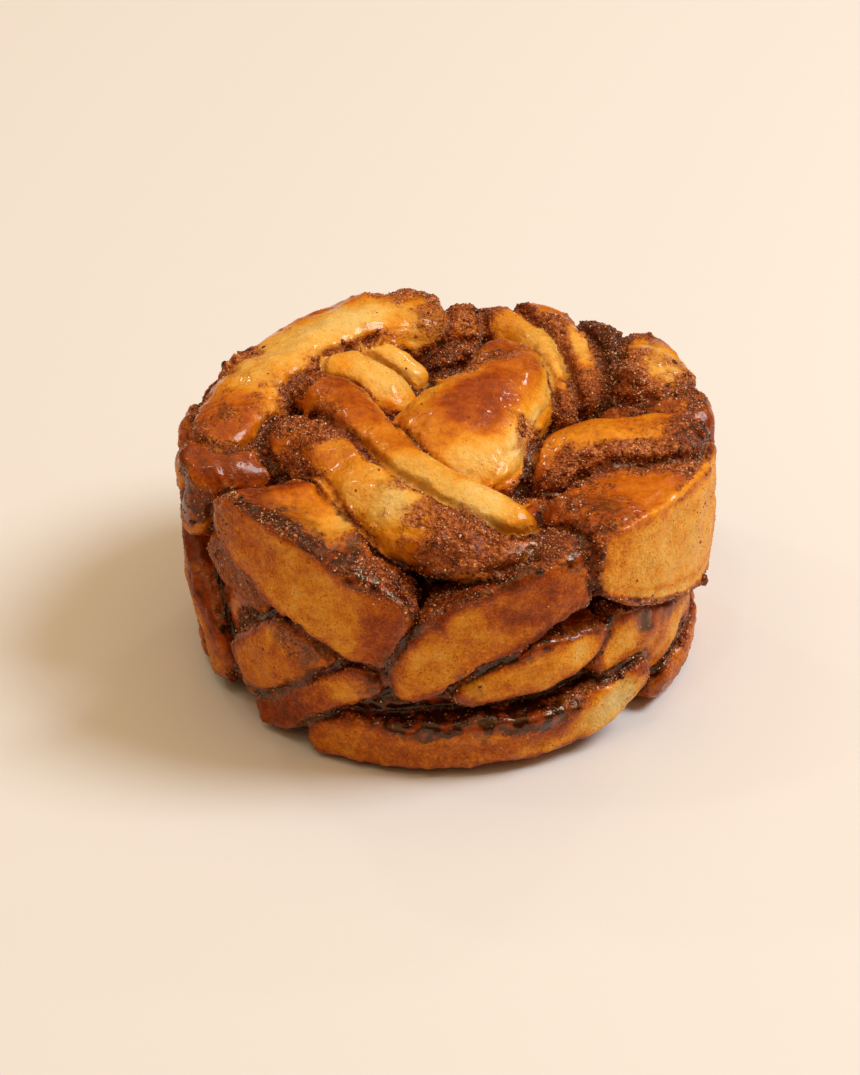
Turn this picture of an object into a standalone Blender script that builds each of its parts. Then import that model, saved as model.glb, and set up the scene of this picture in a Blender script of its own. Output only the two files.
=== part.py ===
"""A knotted cinnamon bun, baked in a round ring and turned out.

One rope of layered dough is folded over and under itself, so the outside shows as ribbons: a thick
loop and a long crossing band on top, arcs along the rim, and slabs round the side that the ring has
pressed flat. The ribbons are swept one by one, kept inside the ring and above the tray, and joined
with the filled middle into one solid.

Blender script. The tables are in millimetres; the scene is in metres, +Z up, with the origin at the
middle of the flat base. Azimuths are in degrees, 0 at the front (-Y) and growing towards +X.
"""

import math

import bmesh
import bpy
from mathutils import Vector, noise

MM = 0.001

# Driving dimensions, in millimetres
RING_RADIUS = 46.6
RING_CENTRE = Vector((1.2, 0.0, 0.0))
FOOT_RADIUS = 43.6
FOOT_HEIGHT = 20.0
BASE_ROUNDING = 2.6
MIDDLE_RADIUS = 39.0
MIDDLE_HEIGHT = 39.0
BASE_DISC_RADIUS = 36.0
TRAY_GAP = 0.4

# How the dough meets the ring and the tray
RING_SOFTNESS = 0.7
TRAY_SOFTNESS = 0.5
PRESS = 2.2

# Unevenness of hand-folded dough
LUMP_SIZE = 13.0
LUMP_DEPTH = 0.7
LUMP_SHIFTS = (Vector((0.0, 0.0, 0.0)), Vector((31.7, 0.0, 5.3)), Vector((7.1, 47.3, 0.0)))

# Fineness of the swept ribbons and of the turned middle
SIDES = 14
RING_STEP = 4.2
CAP_RINGS = 3
CURVE_SAMPLES = 240
TURN_STEPS = 40

# A ribbon's rounded end: its length as a share of the ribbon, and in half widths
CAP_SHARE = 0.42
CAP_WIDTHS = 1.1


def direction(azimuth):
    """The level unit vector that points outwards at an azimuth."""
    angle = math.radians(azimuth)
    return Vector((math.sin(angle), -math.cos(angle), 0.0))


def ring_radius(height, inset=0.0):
    """Radius of the dough's outer wall at a height: the ring, drawn in towards the foot."""
    share = min(1.0, max(0.0, height / FOOT_HEIGHT))
    share = share * share * (3.0 - 2.0 * share)
    radius = FOOT_RADIUS + (RING_RADIUS - FOOT_RADIUS) * share
    low = max(0.0, BASE_ROUNDING - height)
    rounding = BASE_ROUNDING - math.sqrt(max(0.0, BASE_ROUNDING**2 - min(low, BASE_ROUNDING) ** 2))
    return radius - inset - rounding


def wall(azimuth, height, half_width, inset=0.0):
    """A crest point on the side wall, a little outside the ring that then presses it flat."""
    middle = direction(azimuth) * (ring_radius(height, inset) + PRESS) + RING_CENTRE
    return (middle.x, middle.y, height, half_width)


# Each ribbon: crest points (x, y, z, half width), half thickness, lean of its face at the start and
# the end (0 faces up, 90 faces outwards), squareness of its section, squareness of its ends, inset
# from the ring.
def ribbon(name, points, thickness, lean, section=2.3, ends=2.2, inset=0.0):
    return {
        "name": name,
        "points": points,
        "thickness": thickness,
        "lean": lean,
        "section": section,
        "ends": ends,
        "inset": inset,
    }


def top_ribbons():
    """The knot on top: the loop, the band that crosses it, and the folds tucked round them."""
    loop = [
        (3.0, 18.5, 41.5, 4.2),
        (6.2, 22.0, 45.8, 5.4),
        (10.4, 21.2, 48.8, 6.6),
        (12.4, 15.5, 50.0, 8.0),
        (11.2, 8.0, 50.4, 9.4),
        (7.6, 0.2, 50.6, 11.4),
        (3.0, -8.0, 50.0, 12.8),
        (-1.5, -14.3, 48.2, 13.2),
        (-6.0, -19.5, 45.0, 12.4),
    ]
    crossing = [
        (-30.5, 6.5, 41.5, 4.2),
        (-26.0, 9.5, 45.5, 5.2),
        (-20.5, 8.5, 48.5, 5.8),
        (-16.8, -1.0, 49.0, 5.8),
        (-12.6, -11.6, 49.3, 5.6),
        (-7.0, -20.6, 49.3, 5.4),
        (-0.5, -27.0, 49.0, 5.4),
        (5.8, -31.2, 48.2, 5.6),
        (11.8, -34.2, 46.6, 5.6),
        (17.8, -36.0, 43.8, 4.8),
    ]
    lower_band = [
        (-31.0, 2.5, 42.5, 5.5),
        (-27.5, -4.0, 45.0, 6.2),
        (-22.5, -8.5, 46.3, 6.6),
        (-18.0, -15.5, 47.0, 6.6),
        (-14.0, -23.5, 47.2, 6.6),
        (-9.0, -30.2, 46.9, 6.8),
        (-2.5, -35.0, 46.2, 6.8),
        (5.0, -37.8, 45.2, 6.6),
        (12.5, -38.2, 43.8, 6.0),
        (20.0, -35.5, 41.5, 4.8),
    ]
    return [
        ribbon("loop", loop, 7.5, (20, 0), 2.2),
        ribbon("crossing", crossing, 6.0, (10, 25), 2.4),
        ribbon("lower_band", lower_band, 4.8, (25, 35), 2.4),
        ribbon(
            "finger_a",
            [
                (-32.0, 7.5, 41.5, 4.5),
                (-28.5, 14.0, 44.6, 5.4),
                (-23.0, 20.5, 46.4, 6.0),
                (-16.0, 18.5, 46.6, 6.2),
                (-10.0, 14.5, 45.2, 6.2),
                (-3.0, 9.5, 42.0, 5.2),
            ],
            6.0,
            (5, -10),
        ),
        ribbon(
            "finger_b",
            [
                (-21.0, 29.0, 43.5, 3.6),
                (-15.0, 27.5, 45.6, 4.2),
                (-9.5, 24.5, 45.0, 4.4),
                (-2.0, 18.5, 42.0, 3.8),
            ],
            5.0,
            (0, -10),
        ),
        ribbon(
            "hollow_slope",
            [
                (9.0, 40.5, 42.0, 7.0),
                (4.0, 36.0, 42.5, 8.0),
                (-1.0, 30.5, 41.0, 8.5),
                (-2.5, 22.0, 37.0, 8.5),
            ],
            7.0,
            (0, 0),
        ),
        ribbon(
            "arc_inner",
            [
                (3.0, 41.5, 43.0, 4.0),
                (8.0, 39.3, 45.3, 4.6),
                (12.8, 36.0, 46.3, 5.0),
                (17.0, 30.0, 46.6, 5.0),
                (19.8, 21.5, 46.3, 4.8),
                (20.8, 12.5, 45.3, 4.6),
                (20.0, 3.0, 42.0, 4.0),
            ],
            6.5,
            (10, 0),
        ),
        ribbon(
            "arc_outer",
            [
                (11.5, 42.5, 43.8, 4.6),
                (16.5, 39.0, 46.3, 5.2),
                (21.0, 33.5, 47.3, 5.4),
                (24.5, 25.0, 47.3, 5.0),
                (26.2, 15.5, 46.8, 4.6),
                (26.6, 6.5, 44.0, 4.0),
            ],
            7.0,
            (15, 0),
        ),
        ribbon(
            "dark_ridge",
            [
                (23.5, 39.5, 43.0, 3.4),
                (28.0, 32.5, 46.4, 4.4),
                (31.0, 25.0, 47.0, 4.4),
                (32.0, 16.0, 46.6, 4.2),
                (31.4, 7.0, 44.0, 3.6),
            ],
            6.0,
            (15, 5),
        ),
        ribbon(
            "right_ridge",
            [
                (11.0, -11.0, 38.5, 5.5),
                (16.5, -10.5, 43.0, 6.8),
                (22.0, -8.5, 45.8, 7.4),
                (28.5, -6.8, 47.3, 7.6),
                (35.5, -6.0, 47.6, 7.6),
                (42.0, -6.0, 47.2, 7.4),
                (48.0, -6.0, 45.0, 6.6),
            ],
            7.5,
            (0, 15),
            2.5,
            3.0,
        ),
    ]


def rim_ribbons():
    """The folds along the rim: the big arc at the back left and the short ones beside it."""
    back_left_arc = [
        (-45.0, -16.0, 40.5, 6.5),
        (-43.0, -9.0, 43.5, 7.8),
        (-39.0, -1.0, 46.0, 8.6),
        (-35.0, 8.5, 47.0, 9.0),
        (-30.0, 18.5, 47.6, 9.2),
        (-24.0, 27.5, 48.2, 9.2),
        (-16.5, 34.0, 48.7, 8.8),
        (-8.5, 37.3, 48.7, 8.4),
        (-1.0, 38.5, 48.0, 7.6),
        (5.5, 38.5, 45.5, 6.2),
    ]
    return [
        ribbon("back_left_arc", back_left_arc, 8.5, (15, 5), 2.4),
        ribbon(
            "back_rim",
            [
                (-6.0, 41.0, 44.5, 6.5),
                (3.0, 41.5, 45.0, 6.5),
                (12.0, 42.0, 44.0, 6.0),
            ],
            7.0,
            (30, 30),
        ),
        ribbon(
            "right_back_block",
            [
                (32.0, 33.0, 44.0, 6.0),
                (37.0, 26.5, 46.6, 8.0),
                (39.6, 18.0, 47.4, 8.8),
                (39.6, 10.0, 46.8, 8.6),
                (38.4, 3.5, 43.5, 7.0),
            ],
            8.5,
            (5, 25),
            3.0,
            3.0,
        ),
    ]


def side_ribbons():
    """The slabs that the ring pressed flat, as the front and the two flanks show them."""
    return [
        ribbon(
            "front_left_slab",
            [
                wall(-60, 41.5, 4.0),
                wall(-50, 41.0, 5.8),
                wall(-40, 38.6, 7.6),
                wall(-30, 35.8, 8.6),
                wall(-20, 32.4, 8.6),
                wall(-9, 28.6, 7.6),
            ],
            12.0,
            (78, 86),
            4.6,
            4.0,
        ),
        ribbon(
            "front_middle_slab",
            [
                wall(-14, 17.8, 4.6, 0.9),
                wall(-9, 20.8, 5.8, 0.9),
                wall(-3, 25.2, 6.9, 0.9),
                wall(4, 29.4, 7.5, 0.9),
                wall(11, 32.4, 7.7, 0.9),
                wall(19, 35.2, 7.3, 1.2),
                wall(27, 37.4, 6.6, 1.6),
                wall(36, 39.0, 5.6, 2.4),
            ],
            9.0,
            (85, 80),
            3.0,
            2.8,
            0.9,
        ),
        ribbon(
            "front_lower_fold",
            [
                wall(-1, 16.6, 2.4, 1.8),
                wall(5, 17.8, 3.8, 1.7),
                wall(13, 19.8, 4.8, 1.6),
                wall(22, 21.2, 4.9, 1.6),
                wall(31, 22.8, 4.2, 1.8),
                wall(40, 25.2, 3.4, 2.6),
            ],
            8.0,
            (90, 90),
            2.4,
            2.2,
            1.6,
        ),
        ribbon(
            "right_front_slab",
            [
                wall(31, 40.2, 5.8),
                wall(35.5, 39.6, 6.8),
                wall(42, 38.2, 8.2),
                wall(51, 36.4, 9.8),
                wall(62, 34.6, 11.2),
                wall(76, 32.6, 12.0),
                wall(92, 32.4, 11.0),
            ],
            11.0,
            (80, 86),
            5.0,
            4.0,
        ),
        ribbon(
            "right_low_slab",
            [
                wall(33, 24.5, 6.0, 3.2),
                wall(44, 19.5, 7.6, 2.6),
                wall(57, 15.8, 8.2, 2.4),
                wall(71, 13.0, 8.2, 2.2),
                wall(88, 11.0, 7.0, 2.0),
            ],
            9.0,
            (90, 88),
            2.8,
            2.6,
            2.4,
        ),
        ribbon(
            "left_low_slab",
            [
                wall(-55, 11.0, 5.4, 0.6),
                wall(-46, 15.2, 6.6, 0.6),
                wall(-37, 20.5, 6.8, 0.8),
                wall(-24, 27.5, 5.6, 2.4),
            ],
            9.0,
            (88, 88),
            3.4,
            3.6,
            0.6,
        ),
        ribbon(
            "left_tucked_fold",
            [
                wall(-70, 28.0, 4.6, 2.2),
                wall(-59, 29.8, 5.4, 2.4),
                wall(-49, 29.0, 5.4, 2.8),
                wall(-38, 26.0, 4.8, 3.6),
            ],
            8.0,
            (85, 88),
            2.4,
            2.4,
            2.4,
        ),
        ribbon(
            "left_foot_fold",
            [
                wall(-51, 3.8, 3.8, 0.4),
                wall(-42, 6.8, 4.6, 0.4),
                wall(-33, 12.2, 4.8, 0.8),
                wall(-23, 17.6, 4.6, 1.8),
                wall(-12, 21.5, 4.0, 3.0),
            ],
            8.0,
            (90, 90),
            2.6,
            2.8,
            0.6,
        ),
        ribbon(
            "left_low_flank",
            [
                wall(-60, 4.5, 5.2, 0.5),
                wall(-70, 9.5, 6.6, 0.3),
                wall(-82, 16.0, 7.4, 0.2),
                wall(-95, 21.5, 7.4, 0.2),
                wall(-108, 26.0, 6.2, 0.6),
            ],
            9.0,
            (90, 86),
            3.0,
            2.6,
            0.3,
        ),
        ribbon(
            "left_high_flank",
            [
                wall(-69, 37.0, 7.8),
                wall(-80, 37.4, 8.6),
                wall(-94, 36.4, 8.8),
                wall(-108, 34.6, 7.8),
            ],
            11.0,
            (78, 80),
            3.4,
            4.0,
        ),
    ]


# The side that the named slabs leave open, from the right flank round the back to the left flank
BACK_START, BACK_END = 92.0, 262.0
BACK_PAIRS = 5
BACK_UPPER_HEIGHTS = (39.4, 37.4, 33.8, 30.0)
BACK_LOWER_HEIGHTS = (17.0, 23.0, 27.5, 31.0)
BACK_UPPER_WIDTHS = (6.4, 8.2, 8.2, 6.6)
BACK_LOWER_WIDTHS = (5.2, 6.6, 6.6, 5.4)
# Where a pair's two slabs start and how far each of their points goes on, in shares of the pitch
UPPER_START, UPPER_STRIDE = -0.05, 0.36
LOWER_START, LOWER_STRIDE = 0.18, 0.34
BACK_LOWER_INSET = 1.4


def back_ribbons():
    """The same over-and-under folds carried on round the back, each a little unlike the last."""
    made = []
    pitch = (BACK_END - BACK_START) / BACK_PAIRS
    for index in range(BACK_PAIRS):
        start = BACK_START + pitch * index
        wander = math.sin(2.4 * index + 0.8)
        upper = [
            wall(
                start + pitch * (UPPER_START + UPPER_STRIDE * k),
                height + 1.2 * wander,
                width + 0.6 * wander,
            )
            for k, (height, width) in enumerate(zip(BACK_UPPER_HEIGHTS, BACK_UPPER_WIDTHS))
        ]
        inset = BACK_LOWER_INSET + 0.5 * wander
        lower = [
            wall(start + pitch * (LOWER_START + LOWER_STRIDE * k), height - 1.4 * wander, width, inset)
            for k, (height, width) in enumerate(zip(BACK_LOWER_HEIGHTS, BACK_LOWER_WIDTHS))
        ]
        made.append(ribbon(f"back_upper_{index}", upper, 11.0, (76, 86), 3.2, 3.0))
        made.append(ribbon(f"back_lower_{index}", lower, 8.5, (90, 88), 2.8, 2.6, inset))
    return made


FOOT_WIDTH, FOOT_END_WIDTH = 5.4, 4.2
FOOT_INSET = 0.2


def foot_ribbons():
    """The bottom coil, which runs round the foot in four overlapping lengths."""
    lengths = [
        ("front_foot", (-35, -22, -6, 10, 26, 40, 52), (4.0, 5.4, 6.4, 6.8, 7.6, 9.4, 12.5)),
        ("right_foot", (56, 72, 90, 108, 126), (4.5, 5.6, 6.4, 7.2, 9.0)),
        ("back_foot", (122, 140, 160, 180, 200), (4.8, 5.8, 6.6, 7.0, 8.8)),
        ("left_foot", (196, 214, 234, 254, 272, 288), (4.8, 5.8, 6.4, 7.2, 6.4, 5.2)),
    ]
    made = []
    for name, azimuths, heights in lengths:
        last = len(azimuths) - 1
        points = [
            wall(azimuth, height, FOOT_WIDTH if 0 < k < last else FOOT_END_WIDTH, FOOT_INSET)
            for k, (azimuth, height) in enumerate(zip(azimuths, heights))
        ]
        made.append(ribbon(name, points, 8.0, (90, 90), 2.6, 2.4, FOOT_INSET))
    return made


def spline_point(points, position):
    """A Catmull-Rom curve through rows of numbers, read at a position counted in rows."""
    last = len(points) - 1
    index = min(int(position), last - 1)
    t = position - index
    before = points[max(index - 1, 0)]
    start, end = points[index], points[index + 1]
    after = points[min(index + 2, last)]
    return [
        0.5
        * (
            2.0 * b
            + (c - a) * t
            + (2.0 * a - 5.0 * b + 4.0 * c - d) * t**2
            + (3.0 * b - a - 3.0 * c + d) * t**3
        )
        for a, b, c, d in zip(before, start, end, after)
    ]


def along(points):
    """The curve's rows and the length up to each, fine enough to be read at any length."""
    last = len(points) - 1
    rows = [spline_point(points, last * k / CURVE_SAMPLES) for k in range(CURVE_SAMPLES + 1)]
    lengths = [0.0]
    for before, after in zip(rows, rows[1:]):
        lengths.append(lengths[-1] + (Vector(after[:3]) - Vector(before[:3])).length)
    return lengths, rows


def row_at(lengths, rows, wanted):
    """The curve's row at a length, and its unit tangent there."""
    index = 1
    while index < len(lengths) - 1 and lengths[index] < wanted:
        index += 1
    span = max(lengths[index] - lengths[index - 1], 1e-9)
    share = min(1.0, max(0.0, (wanted - lengths[index - 1]) / span))
    before, after = rows[index - 1], rows[index]
    row = [a + (b - a) * share for a, b in zip(before, after)]
    near = rows[max(index - 2, 0)]
    far = rows[min(index + 1, len(rows) - 1)]
    return row, (Vector(far[:3]) - Vector(near[:3])).normalized()


def stations(length, cap):
    """Where the rings of a ribbon sit along it, closer together over its two rounded ends."""
    turn = [cap * (1.0 - math.cos(0.5 * math.pi * k / CAP_RINGS)) for k in range(1, CAP_RINGS)]
    middle = max(2, round((length - 2.0 * cap) / RING_STEP))
    straight = [cap + (length - 2.0 * cap) * k / middle for k in range(middle + 1)]
    return turn + straight + [length - value for value in reversed(turn)]


def end_share(distance, cap, squareness):
    """How full the section is at a distance from a ribbon's end."""
    if distance >= cap:
        return 1.0
    return (1.0 - (1.0 - distance / cap) ** squareness) ** (1.0 / squareness)


def soft_limit(value, limit, softness):
    """value, held under limit with a rounded shoulder."""
    over = (value - limit) / softness
    return limit - softness * (math.log1p(math.exp(-abs(over))) + max(-over, 0.0))


def unevenness(place):
    """A smooth, repeatable random vector."""
    return Vector([noise.noise(place + shift) for shift in LUMP_SHIFTS])


def in_ring(point, inset):
    """A point of a ribbon, held inside the ring and above the tray, with the dough's own lumps."""
    point = point + unevenness(point / LUMP_SIZE) * LUMP_DEPTH
    height = TRAY_GAP - soft_limit(-(point.z - TRAY_GAP), 0.0, TRAY_SOFTNESS)
    level = Vector((point.x, point.y, 0.0)) - RING_CENTRE
    reach = level.length
    held = soft_limit(reach, ring_radius(height, inset), RING_SOFTNESS)
    level = level * (held / max(reach, 1e-6)) + RING_CENTRE
    return Vector((level.x, level.y, height))


def superellipse(angle, power):
    """A point of the unit superellipse: power 2 is round, and more is squarer."""
    c, s = math.cos(angle), math.sin(angle)
    return (
        math.copysign(abs(c) ** (2.0 / power), c),
        math.copysign(abs(s) ** (2.0 / power), s),
    )


def facing(point, lean):
    """The way a ribbon's face looks at a point: between straight up and straight out."""
    level = Vector((point.x, point.y, 0.0))
    outwards = level.normalized() if level.length > 1e-6 else Vector((0.0, -1.0, 0.0))
    angle = math.radians(lean)
    return Vector((0.0, 0.0, 1.0)) * math.cos(angle) + outwards * math.sin(angle)


def section_at(spec, lengths, rows, place):
    """The crest, half width, sideways direction and face direction of a ribbon at a length."""
    row, tangent = row_at(lengths, rows, place)
    crest = Vector(row[:3])
    start, end = spec["lean"]
    across = tangent.cross(facing(crest, start + (end - start) * place / lengths[-1])).normalized()
    return crest, row[3], across, across.cross(tangent).normalized()


def sweep(spec):
    """One ribbon as a closed mesh object, in metres."""
    lengths, rows = along(spec["points"])
    length = lengths[-1]
    cap = min(CAP_SHARE * length, CAP_WIDTHS * max(row[3] for row in rows))
    thickness = spec["thickness"]
    mesh = bmesh.new()
    rings = []
    for place in stations(length, cap):
        crest, half_width, across, normal = section_at(spec, lengths, rows, place)
        centre = crest - normal * thickness
        share = end_share(min(place, length - place), cap, spec["ends"])
        ring = []
        for side in range(SIDES):
            c, s = superellipse(2.0 * math.pi * side / SIDES, spec["section"])
            point = centre + across * (c * half_width * share) + normal * (s * thickness * share)
            ring.append(mesh.verts.new(in_ring(point, spec["inset"]) * MM))
        rings.append(ring)
    poles = []
    for place in (0.0, length):
        crest, _, _, normal = section_at(spec, lengths, rows, place)
        poles.append(mesh.verts.new(in_ring(crest - normal * thickness, spec["inset"]) * MM))
    for before, after in zip(rings, rings[1:]):
        for side in range(SIDES):
            following = (side + 1) % SIDES
            mesh.faces.new((before[side], before[following], after[following], after[side]))
    for side in range(SIDES):
        following = (side + 1) % SIDES
        mesh.faces.new((poles[0], rings[0][following], rings[0][side]))
        mesh.faces.new((poles[1], rings[-1][side], rings[-1][following]))
    bmesh.ops.recalc_face_normals(mesh, faces=mesh.faces)
    return finished(spec["name"], mesh)


def middle_of_bun():
    """The dough behind the ribbons, turned: flat base disc, rounded foot, domed top."""
    profile = [
        (0.0, 0.0),
        (BASE_DISC_RADIUS, 0.0),
        (BASE_DISC_RADIUS + 2.0, 1.4),
        (MIDDLE_RADIUS + 1.6, 5.0),
        (MIDDLE_RADIUS + 1.6, 14.0),
        (MIDDLE_RADIUS, 24.0),
        (MIDDLE_RADIUS - 1.5, 32.0),
        (MIDDLE_RADIUS - 8.0, MIDDLE_HEIGHT),
        (0.0, MIDDLE_HEIGHT + 1.5),
    ]
    mesh = bmesh.new()
    line = [mesh.verts.new(Vector((radius, 0.0, height)) * MM) for radius, height in profile]
    edges = [mesh.edges.new(pair) for pair in zip(line, line[1:])]
    bmesh.ops.spin(
        mesh,
        geom=line + edges,
        axis=(0.0, 0.0, 1.0),
        cent=(0.0, 0.0, 0.0),
        steps=TURN_STEPS,
        angle=2.0 * math.pi,
    )
    bmesh.ops.remove_doubles(mesh, verts=mesh.verts, dist=1e-6)
    bmesh.ops.recalc_face_normals(mesh, faces=mesh.faces)
    return finished("bun", mesh)


def finished(name, mesh):
    """A mesh object in the scene, from a bmesh."""
    data = bpy.data.meshes.new(name)
    mesh.to_mesh(data)
    mesh.free()
    obj = bpy.data.objects.new(name, data)
    bpy.context.scene.collection.objects.link(obj)
    return obj


def joined(body, ribbons):
    """The ribbons united with the body in one Boolean, which is applied; the ribbons are removed."""
    group = bpy.data.collections.new("ribbons")
    bpy.context.scene.collection.children.link(group)
    for obj in ribbons:
        bpy.context.scene.collection.objects.unlink(obj)
        group.objects.link(obj)
    union = body.modifiers.new("union", "BOOLEAN")
    union.operation = "UNION"
    union.operand_type = "COLLECTION"
    union.collection = group
    union.solver = "MANIFOLD"
    graph = bpy.context.evaluated_depsgraph_get()
    united = bpy.data.meshes.new_from_object(body.evaluated_get(graph))
    body.modifiers.remove(union)
    body.data = united
    for obj in ribbons:
        bpy.data.objects.remove(obj)
    bpy.data.collections.remove(group)


def outer_skin(data):
    """Keeps the outer surface and drops the small air pockets shut in where ribbons cross."""
    mesh = bmesh.new()
    mesh.from_mesh(data)
    mesh.verts.ensure_lookup_table()
    seen = set()
    shells = []
    for first in mesh.verts:
        if first in seen:
            continue
        seen.add(first)
        shell = [first]
        for vert in shell:
            for edge in vert.link_edges:
                other = edge.other_vert(vert)
                if other not in seen:
                    seen.add(other)
                    shell.append(other)
        shells.append(shell)
    shells.sort(key=len)
    pockets = [vert for shell in shells[:-1] for vert in shell]
    bmesh.ops.delete(mesh, geom=pockets, context="VERTS")
    mesh.to_mesh(data)
    mesh.free()


def dough_material():
    """Egg-washed, well-browned dough."""
    material = bpy.data.materials.new("baked_dough")
    material.use_nodes = True
    shader = material.node_tree.nodes["Principled BSDF"]
    shader.inputs["Base Color"].default_value = (0.45, 0.17, 0.04, 1.0)
    shader.inputs["Roughness"].default_value = 0.38
    return material


def all_ribbons():
    return top_ribbons() + rim_ribbons() + side_ribbons() + back_ribbons() + foot_ribbons()


def main():
    for obj in list(bpy.data.objects):
        bpy.data.objects.remove(obj)
    body = middle_of_bun()
    joined(body, [sweep(spec) for spec in all_ribbons()])
    outer_skin(body.data)
    body.data.materials.clear()
    body.data.materials.append(dough_material())
    body.data.shade_smooth()
    body.data.set_sharp_from_angle(angle=math.radians(50))


main()
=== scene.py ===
"""A knotted cinnamon bun: the dressed model, its material, and the light and camera of the photo.

The dough ribbons of the bun are swept finely, melted into one skin, and given the lumps, fibres,
creases and cinnamon crust of the real surface. Crumbs and sugar grains are pieces of their own,
and the syrup is a cover on the skin. Tables are in millimetres; the scene is in metres, +Z up,
with the origin at the middle of the flat base. Azimuths are in degrees, 0 at the front (-Y) and
growing towards +X.
"""

import math

import bmesh
import bpy
import numpy as np
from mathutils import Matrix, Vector, noise
from mathutils.bvhtree import BVHTree


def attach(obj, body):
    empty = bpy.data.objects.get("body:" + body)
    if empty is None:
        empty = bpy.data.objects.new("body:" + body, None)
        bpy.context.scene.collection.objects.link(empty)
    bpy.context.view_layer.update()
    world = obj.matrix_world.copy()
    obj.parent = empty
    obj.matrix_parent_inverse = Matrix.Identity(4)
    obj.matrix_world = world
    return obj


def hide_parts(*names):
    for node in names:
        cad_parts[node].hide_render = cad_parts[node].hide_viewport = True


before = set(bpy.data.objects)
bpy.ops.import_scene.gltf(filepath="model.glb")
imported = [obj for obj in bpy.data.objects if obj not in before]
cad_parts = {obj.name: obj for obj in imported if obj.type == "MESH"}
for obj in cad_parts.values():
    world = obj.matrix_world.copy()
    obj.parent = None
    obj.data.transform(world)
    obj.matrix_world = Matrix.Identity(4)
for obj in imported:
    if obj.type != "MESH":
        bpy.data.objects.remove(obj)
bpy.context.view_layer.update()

MM = 0.001

# Driving dimensions of the dough, in millimetres
RING_RADIUS = 46.6
RING_CENTRE = Vector((1.2, 0.0, 0.0))
FOOT_RADIUS = 43.6
FOOT_HEIGHT = 20.0
BASE_ROUNDING = 2.6
MIDDLE_RADIUS = 39.0
MIDDLE_HEIGHT = 39.0
BASE_DISC_RADIUS = 36.0
TRAY_GAP = 0.4
RING_SOFTNESS = 0.7
TRAY_SOFTNESS = 0.5
PRESS = 2.2
LUMP_SIZE = 13.0
LUMP_DEPTH = 0.7
LUMP_SHIFTS = (Vector((0.0, 0.0, 0.0)), Vector((31.7, 0.0, 5.3)), Vector((7.1, 47.3, 0.0)))
# Length of a ribbon's rounded end: at most this share of the ribbon, or these half widths
CAP_SHARE = 0.42
CAP_WIDTHS = 1.1

# Fineness of the swept ribbons, of the turned middle and of the skin made from them
SIDES = 48
RING_STEP = 1.1
CAP_RINGS = 9
CURVE_SAMPLES = 240
TURN_STEPS = 90
SKIN_VOXEL = 0.36
SKIN_TRIANGLES = 195000

# Smoothing rounds behind the three scales at which relief is measured
RELIEF_ROUNDS = (8, 60, 200)
# How far from a seam between ribbons its distance is followed, and how far a point lies off every
# ribbon where the middle of the bun shows
SEAM_REACH = 8.0
MIDDLE_SHOWS = 0.35
# One quarter turn round a ribbon's section, in half widths
AROUND_WIDTH = 1.3
SEAM_DEPTH = 1.25
SEAM_WIDTH = 0.9


def direction(azimuth):
    """The level unit vector that points outwards at an azimuth."""
    angle = math.radians(azimuth)
    return Vector((math.sin(angle), -math.cos(angle), 0.0))


def smoothstep(value, low, high):
    """0 at low and 1 at high, with a soft start and end."""
    share = np.clip((value - low) / (high - low), 0.0, 1.0)
    return share * share * (3.0 - 2.0 * share)


def ring_radii(heights, inset=0.0):
    """Radius of the dough's outer wall at each height: the ring, drawn in towards the foot."""
    share = smoothstep(heights, 0.0, FOOT_HEIGHT)
    low = np.clip(BASE_ROUNDING - heights, 0.0, BASE_ROUNDING)
    rounding = BASE_ROUNDING - np.sqrt(BASE_ROUNDING**2 - low**2)
    return FOOT_RADIUS + (RING_RADIUS - FOOT_RADIUS) * share - inset - rounding


def wall(azimuth, height, half_width, inset=0.0):
    """A crest point on the side wall, a little outside the ring that then presses it flat."""
    middle = direction(azimuth) * (float(ring_radii(height, inset)) + PRESS) + RING_CENTRE
    return (middle.x, middle.y, height, half_width)


def walls(*rows):
    """Crest points on the side wall, one for each row of azimuth, height, half width and inset."""
    return [wall(*row) for row in rows]


def ribbon(name, points, thickness, lean, section=2.3, ends=2.2, inset=0.0):
    """A ribbon of dough, from crest points (x, y, z, half width) and its half thickness.

    lean is how its face is turned at the start and the end: 0 up, 90 outwards. section and ends are
    how square its section and its ends are, and inset is how far it keeps from the ring.
    """
    return {
        "name": name,
        "points": points,
        "thickness": thickness,
        "lean": lean,
        "section": section,
        "ends": ends,
        "inset": inset,
    }


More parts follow.
